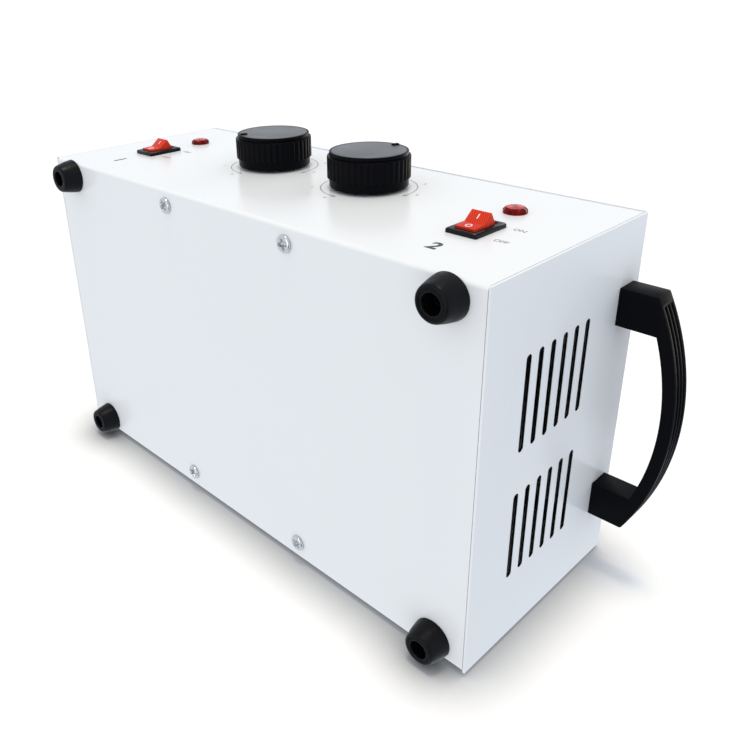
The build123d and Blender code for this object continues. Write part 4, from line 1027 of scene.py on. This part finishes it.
def dress_lids():
    """Lids spun with a flat seat, a dome on a large radius and a turned-down edge, and their knobs."""
    sheet, lap, dome_r, crown_r, seat_r, hole_r = 0.8, 2.6, 120.0, 12.0, 50.0, 2.2
    foot_r, waist_r, neck_r, rim_r, button_r = 8.0, 6.3, 8.2, 13.0, 9.0
    waist_up, neck_up, rim_up, rim_down, button_down = 4.5, 9.2, 12.4, 2.4, 0.55
    for side in SIDES:
        place, reach, skirt, top = upright(f"lid_{side}")
        brim, inner = skirt + lap + sheet, reach - sheet
        span, fall = seat_r - crown_r, top - brim
        lean = np.arctan2(fall, span)
        reach_half = asin(sqrt(span**2 + fall**2) / 2 / dome_r)
        turns = np.linspace(pi / 2 - lean + reach_half, pi / 2 - lean - reach_half, 24)
        centre = np.array([crown_r, top]) - dome_r * np.array([cos(turns[0]), sin(turns[0])])
        dome = centre + dome_r * np.stack([np.cos(turns), np.sin(turns)], axis=-1)
        edge = rounded([
            (seat_r, brim, 0), (reach, brim, 1.2), (reach, skirt, 0.3), (inner, skirt, 0.3),
            (inner, brim - sheet, 0.6), (seat_r, brim - sheet, 0),
        ])
        outline = np.vstack([[(hole_r, top)], dome, edge, dome[::-1] - (0, sheet), [(hole_r, top - sheet)]])
        lid = made(f"lid_{side}_spun", turned(outline, place, 128, closed=True), smooth=40)
        fit(lid, f"lid_{side}", "bright_steel", f"lid_{side}")
        *_, base, crown = upright(f"lid_knob_{side}")
        profile = rounded([
            (0, base, 0), (foot_r, base, 0.4), (waist_r, base + waist_up, 5.0),
            (neck_r, base + neck_up, 4.0), (rim_r, base + rim_up, 1.6), (rim_r, crown - rim_down, 1.2),
            (button_r, crown - button_down, 8.0), (0, crown, 0),
        ])
        knob = made(f"lid_{side}_knob", turned(profile, place, 96), smooth=40)
        fit(knob, f"lid_{side}", "black_knob", f"lid_knob_{side}")


def dress_inlet():
    """The mains inlet with its moulded edges softened."""
    soften("inlet", INLET_EDGE, "inlet_moulding", "case", "black_gloss")


# Stage


def aimed(place, target, up):
    """A matrix at a place that looks at a target, with its y towards up."""
    back = (Vector(place) - Vector(target)).normalized()
    right = Vector(up).cross(back).normalized()
    return Matrix.Translation(place) @ Matrix((right, back.cross(right), back)).transposed().to_4x4()


def one_sided(name, colour, near):
    """A plain matt floor that shows only from its own side, with a painted shadow near what stands on it."""
    material = finish(name, colour, 1.0, Specular_IOR_Level=0.0)
    tree = material.node_tree
    shader = tree.nodes["Principled BSDF"]
    # Painted shadow: ambient occlusion mixes the floor's colour towards a dark shade close to the object
    open_share = tree.nodes.new("ShaderNodeAmbientOcclusion")
    open_share.samples = 16
    open_share.inputs["Distance"].default_value = near
    shade = mixed(tree, open_share.outputs["AO"], FLOOR_PAINTED_SHADOW, colour)
    tree.links.new(shade, shader.inputs["Base Color"])
    clear = tree.nodes.new("ShaderNodeBsdfTransparent")
    mix = tree.nodes.new("ShaderNodeMixShader")
    tree.links.new(tree.nodes.new("ShaderNodeNewGeometry").outputs["Backfacing"], mix.inputs[0])
    tree.links.new(shader.outputs[0], mix.inputs[1])
    tree.links.new(clear.outputs[0], mix.inputs[2])
    tree.links.new(mix.outputs[0], tree.nodes["Material Output"].inputs["Surface"])
    return material


def plane(name, place, half_x, half_y, material, seen_by):
    """A flat stage piece. seen_by names the one kind of ray that meets it."""
    corners = rectangle(half_x, half_y, 0, steps=1)
    mesh = bpy.data.meshes.new(name)
    mesh.from_pydata((flat_path(corners, place) * MM).tolist(), [], [(0, 1, 2, 3)])
    mesh.materials.append(material)
    piece = bpy.data.objects.new(name, mesh)
    bpy.context.scene.collection.objects.link(piece)
    for ray in ("camera", "diffuse", "glossy", "transmission", "shadow", "volume_scatter"):
        setattr(piece, f"visible_{ray}", ray == seen_by)


def set_world(light):
    """Even cool light from all sides, with its own strength in a reflection, and plain white for camera
    and glass."""
    world = bpy.data.worlds.new("studio")
    world.use_nodes = True
    bpy.context.scene.world = world
    tree = world.node_tree
    tree.nodes.clear()
    path = tree.nodes.new("ShaderNodeLightPath")
    seen = maths(tree, "MAXIMUM", path.outputs["Is Camera Ray"], path.outputs["Is Transmission Ray"])
    soft, white = tree.nodes.new("ShaderNodeBackground"), tree.nodes.new("ShaderNodeBackground")
    soft.inputs["Color"].default_value = (*light.cool, 1)
    white.inputs["Color"].default_value = (1, 1, 1, 1)
    change = maths(tree, "MULTIPLY", path.outputs["Is Glossy Ray"], light.gloss - light.around)
    tree.links.new(maths(tree, "ADD", change, light.around), soft.inputs["Strength"])
    mix, out = tree.nodes.new("ShaderNodeMixShader"), tree.nodes.new("ShaderNodeOutputWorld")
    tree.links.new(seen, mix.inputs[0])
    tree.links.new(soft.outputs[0], mix.inputs[1])
    tree.links.new(white.outputs[0], mix.inputs[2])
    tree.links.new(mix.outputs[0], out.inputs["Surface"])


def sun(name, from_side, strength, colour, spread):
    """A broad soft light that shines on one side of the object."""
    lamp = bpy.data.lights.new(name, "SUN")
    lamp.energy, lamp.color, lamp.angle = strength, colour, spread
    holder = bpy.data.objects.new(name, lamp)
    holder.rotation_euler = Vector(from_side).to_track_quat("Z", "Y").to_euler()
    bpy.context.scene.collection.objects.link(holder)


def set_stage(light):
    """Floors behind and under the object, dark cards for the metal to reflect, light and camera."""
    white = one_sided("pale_floor", FLOOR_WHITE, light.near)
    lying = facing("front", (0, mm(cad_box[1][1]) + FLOOR_GAP, FLOOR_MIDDLE))
    plane("floor_lying", lying, FLOOR_HALF, FLOOR_HALF, white, "camera")
    plane("floor_standing", facing("up", (0, 0, 0)), FLOOR_HALF, FLOOR_HALF, white, "camera")
    dark = finish("dark_card", CARD_DARK, 1.0, Specular_IOR_Level=0.0)
    for name, (side, centre, half_x, half_y) in CARDS.items():
        plane(name, facing(side, centre), half_x, half_y, dark, "glossy")
    set_world(light)
    sun("soft_front", (0, -1, 0), light.front, light.warm, light.narrow)
    sun("soft_above", (0, 0, 1), light.above, light.warm, light.spread)
    sun("soft_below", (0, 0, -1), light.below, light.warm, light.spread)
    camera = bpy.data.cameras.new("photo_view")
    camera.sensor_width = 36
    camera.lens, camera.shift_x, camera.shift_y = light.lens, light.shift_x, light.shift_y
    camera.clip_start, camera.clip_end = 0.02, 20
    holder = bpy.data.objects.new("photo_view", camera)
    holder.matrix_world = aimed(CAMERA_PLACE, CAMERA_TARGET, CAMERA_UP)
    bpy.context.scene.collection.objects.link(holder)
    bpy.context.scene.camera = holder
    bpy.context.scene.view_settings.view_transform = "Standard"


# Operators


class WARMER_OT_solids(bpy.types.Operator):
    """Give every solid the finish of its slot"""

    bl_idname = "warmer.solids"
    bl_label = "Finish the solids"

    def execute(self, context):
        dress_solids()
        return {"FINISHED"}


class WARMER_OT_feet(bpy.types.Operator):
    """Make the rubber feet"""

    bl_idname = "warmer.feet"
    bl_label = "Feet"

    def execute(self, context):
        dress_feet(context.scene.warmer_sizes)
        return {"FINISHED"}


class WARMER_OT_screws(bpy.types.Operator):
    """Make the screws that show"""

    bl_idname = "warmer.screws"
    bl_label = "Screws"

    def execute(self, context):
        dress_screws(context.scene.warmer_sizes)
        return {"FINISHED"}


class WARMER_OT_knobs(bpy.types.Operator):
    """Make the knobs and their caps"""

    bl_idname = "warmer.knobs"
    bl_label = "Knobs"

    def execute(self, context):
        dress_knobs(context.scene.warmer_sizes)
        return {"FINISHED"}


class WARMER_OT_switches(bpy.types.Operator):
    """Make the switch housings, rockers and their signs"""

    bl_idname = "warmer.switches"
    bl_label = "Switches"

    def execute(self, context):
        dress_switches()
        return {"FINISHED"}


class WARMER_OT_lamps(bpy.types.Operator):
    """Make the lamp lenses"""

    bl_idname = "warmer.lamps"
    bl_label = "Lamps"

    def execute(self, context):
        dress_lamps(context.scene.warmer_sizes)
        return {"FINISHED"}


class WARMER_OT_printing(bpy.types.Operator):
    """Print the front"""

    bl_idname = "warmer.printing"
    bl_label = "Printing"

    def execute(self, context):
        dress_printing(context.scene.warmer_sizes)
        return {"FINISHED"}


class WARMER_OT_handles(bpy.types.Operator):
    """Make the end handles"""

    bl_idname = "warmer.handles"
    bl_label = "Handles"

    def execute(self, context):
        dress_handles(context.scene.warmer_sizes)
        return {"FINISHED"}


class WARMER_OT_wells(bpy.types.Operator):
    """Make the wells, pots and ears"""

    bl_idname = "warmer.wells"
    bl_label = "Wells and pots"

    def execute(self, context):
        dress_wells()
        return {"FINISHED"}


class WARMER_OT_bails(bpy.types.Operator):
    """Make the wire bails"""

    bl_idname = "warmer.bails"
    bl_label = "Bails"

    def execute(self, context):
        dress_bails()
        return {"FINISHED"}


class WARMER_OT_lids(bpy.types.Operator):
    """Make the lids and their knobs"""

    bl_idname = "warmer.lids"
    bl_label = "Lids"

    def execute(self, context):
        dress_lids()
        return {"FINISHED"}


class WARMER_OT_inlet(bpy.types.Operator):
    """Make the mains inlet"""

    bl_idname = "warmer.inlet"
    bl_label = "Inlet"

    def execute(self, context):
        dress_inlet()
        return {"FINISHED"}


class WARMER_OT_stage(bpy.types.Operator):
    """Set the floor, the light and the camera"""

    bl_idname = "warmer.stage"
    bl_label = "Stage"

    def execute(self, context):
        set_stage(context.scene.warmer_light)
        return {"FINISHED"}


OPERATORS = (
    WARMER_OT_solids, WARMER_OT_feet, WARMER_OT_screws, WARMER_OT_knobs, WARMER_OT_switches,
    WARMER_OT_lamps, WARMER_OT_printing, WARMER_OT_handles, WARMER_OT_wells, WARMER_OT_bails,
    WARMER_OT_lids, WARMER_OT_inlet, WARMER_OT_stage,
)


class WARMER_PT_pieces(bpy.types.Panel):
    """Lists the steps and what they are set by"""

    bl_idname = "WARMER_PT_pieces"
    bl_label = "Double wax warmer"
    bl_space_type = "VIEW_3D"
    bl_region_type = "UI"
    bl_category = "Warmer"

    def draw(self, context):
        for operator in OPERATORS:
            self.layout.operator(operator.bl_idname)
        scene = context.scene
        for settings in (scene.warmer_sizes, scene.warmer_colours, scene.warmer_light):
            for label in settings.__annotations__:
                self.layout.prop(settings, label)


CLASSES = (WarmerSizes, WarmerColours, WarmerLight, *OPERATORS, WARMER_PT_pieces)


def register():
    """Registers the classes and hangs the settings on the scene."""
    for entry in CLASSES:
        bpy.utils.register_class(entry)
    bpy.types.Scene.warmer_sizes = PointerProperty(type=WarmerSizes)
    bpy.types.Scene.warmer_colours = PointerProperty(type=WarmerColours)
    bpy.types.Scene.warmer_light = PointerProperty(type=WarmerLight)


def unregister():
    """Takes the settings and the classes away."""
    del bpy.types.Scene.warmer_light, bpy.types.Scene.warmer_colours, bpy.types.Scene.warmer_sizes
    for entry in reversed(CLASSES):
        bpy.utils.unregister_class(entry)


def main():
    """Registers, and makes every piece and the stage."""
    register()
    bpy.ops.warmer.solids()
    bpy.ops.warmer.feet()
    bpy.ops.warmer.screws()
    bpy.ops.warmer.knobs()
    bpy.ops.warmer.switches()
    bpy.ops.warmer.lamps()
    bpy.ops.warmer.printing()
    bpy.ops.warmer.handles()
    bpy.ops.warmer.wells()
    bpy.ops.warmer.bails()
    bpy.ops.warmer.lids()
    bpy.ops.warmer.inlet()
    bpy.ops.warmer.stage()


if __name__ == "__main__":
    main()
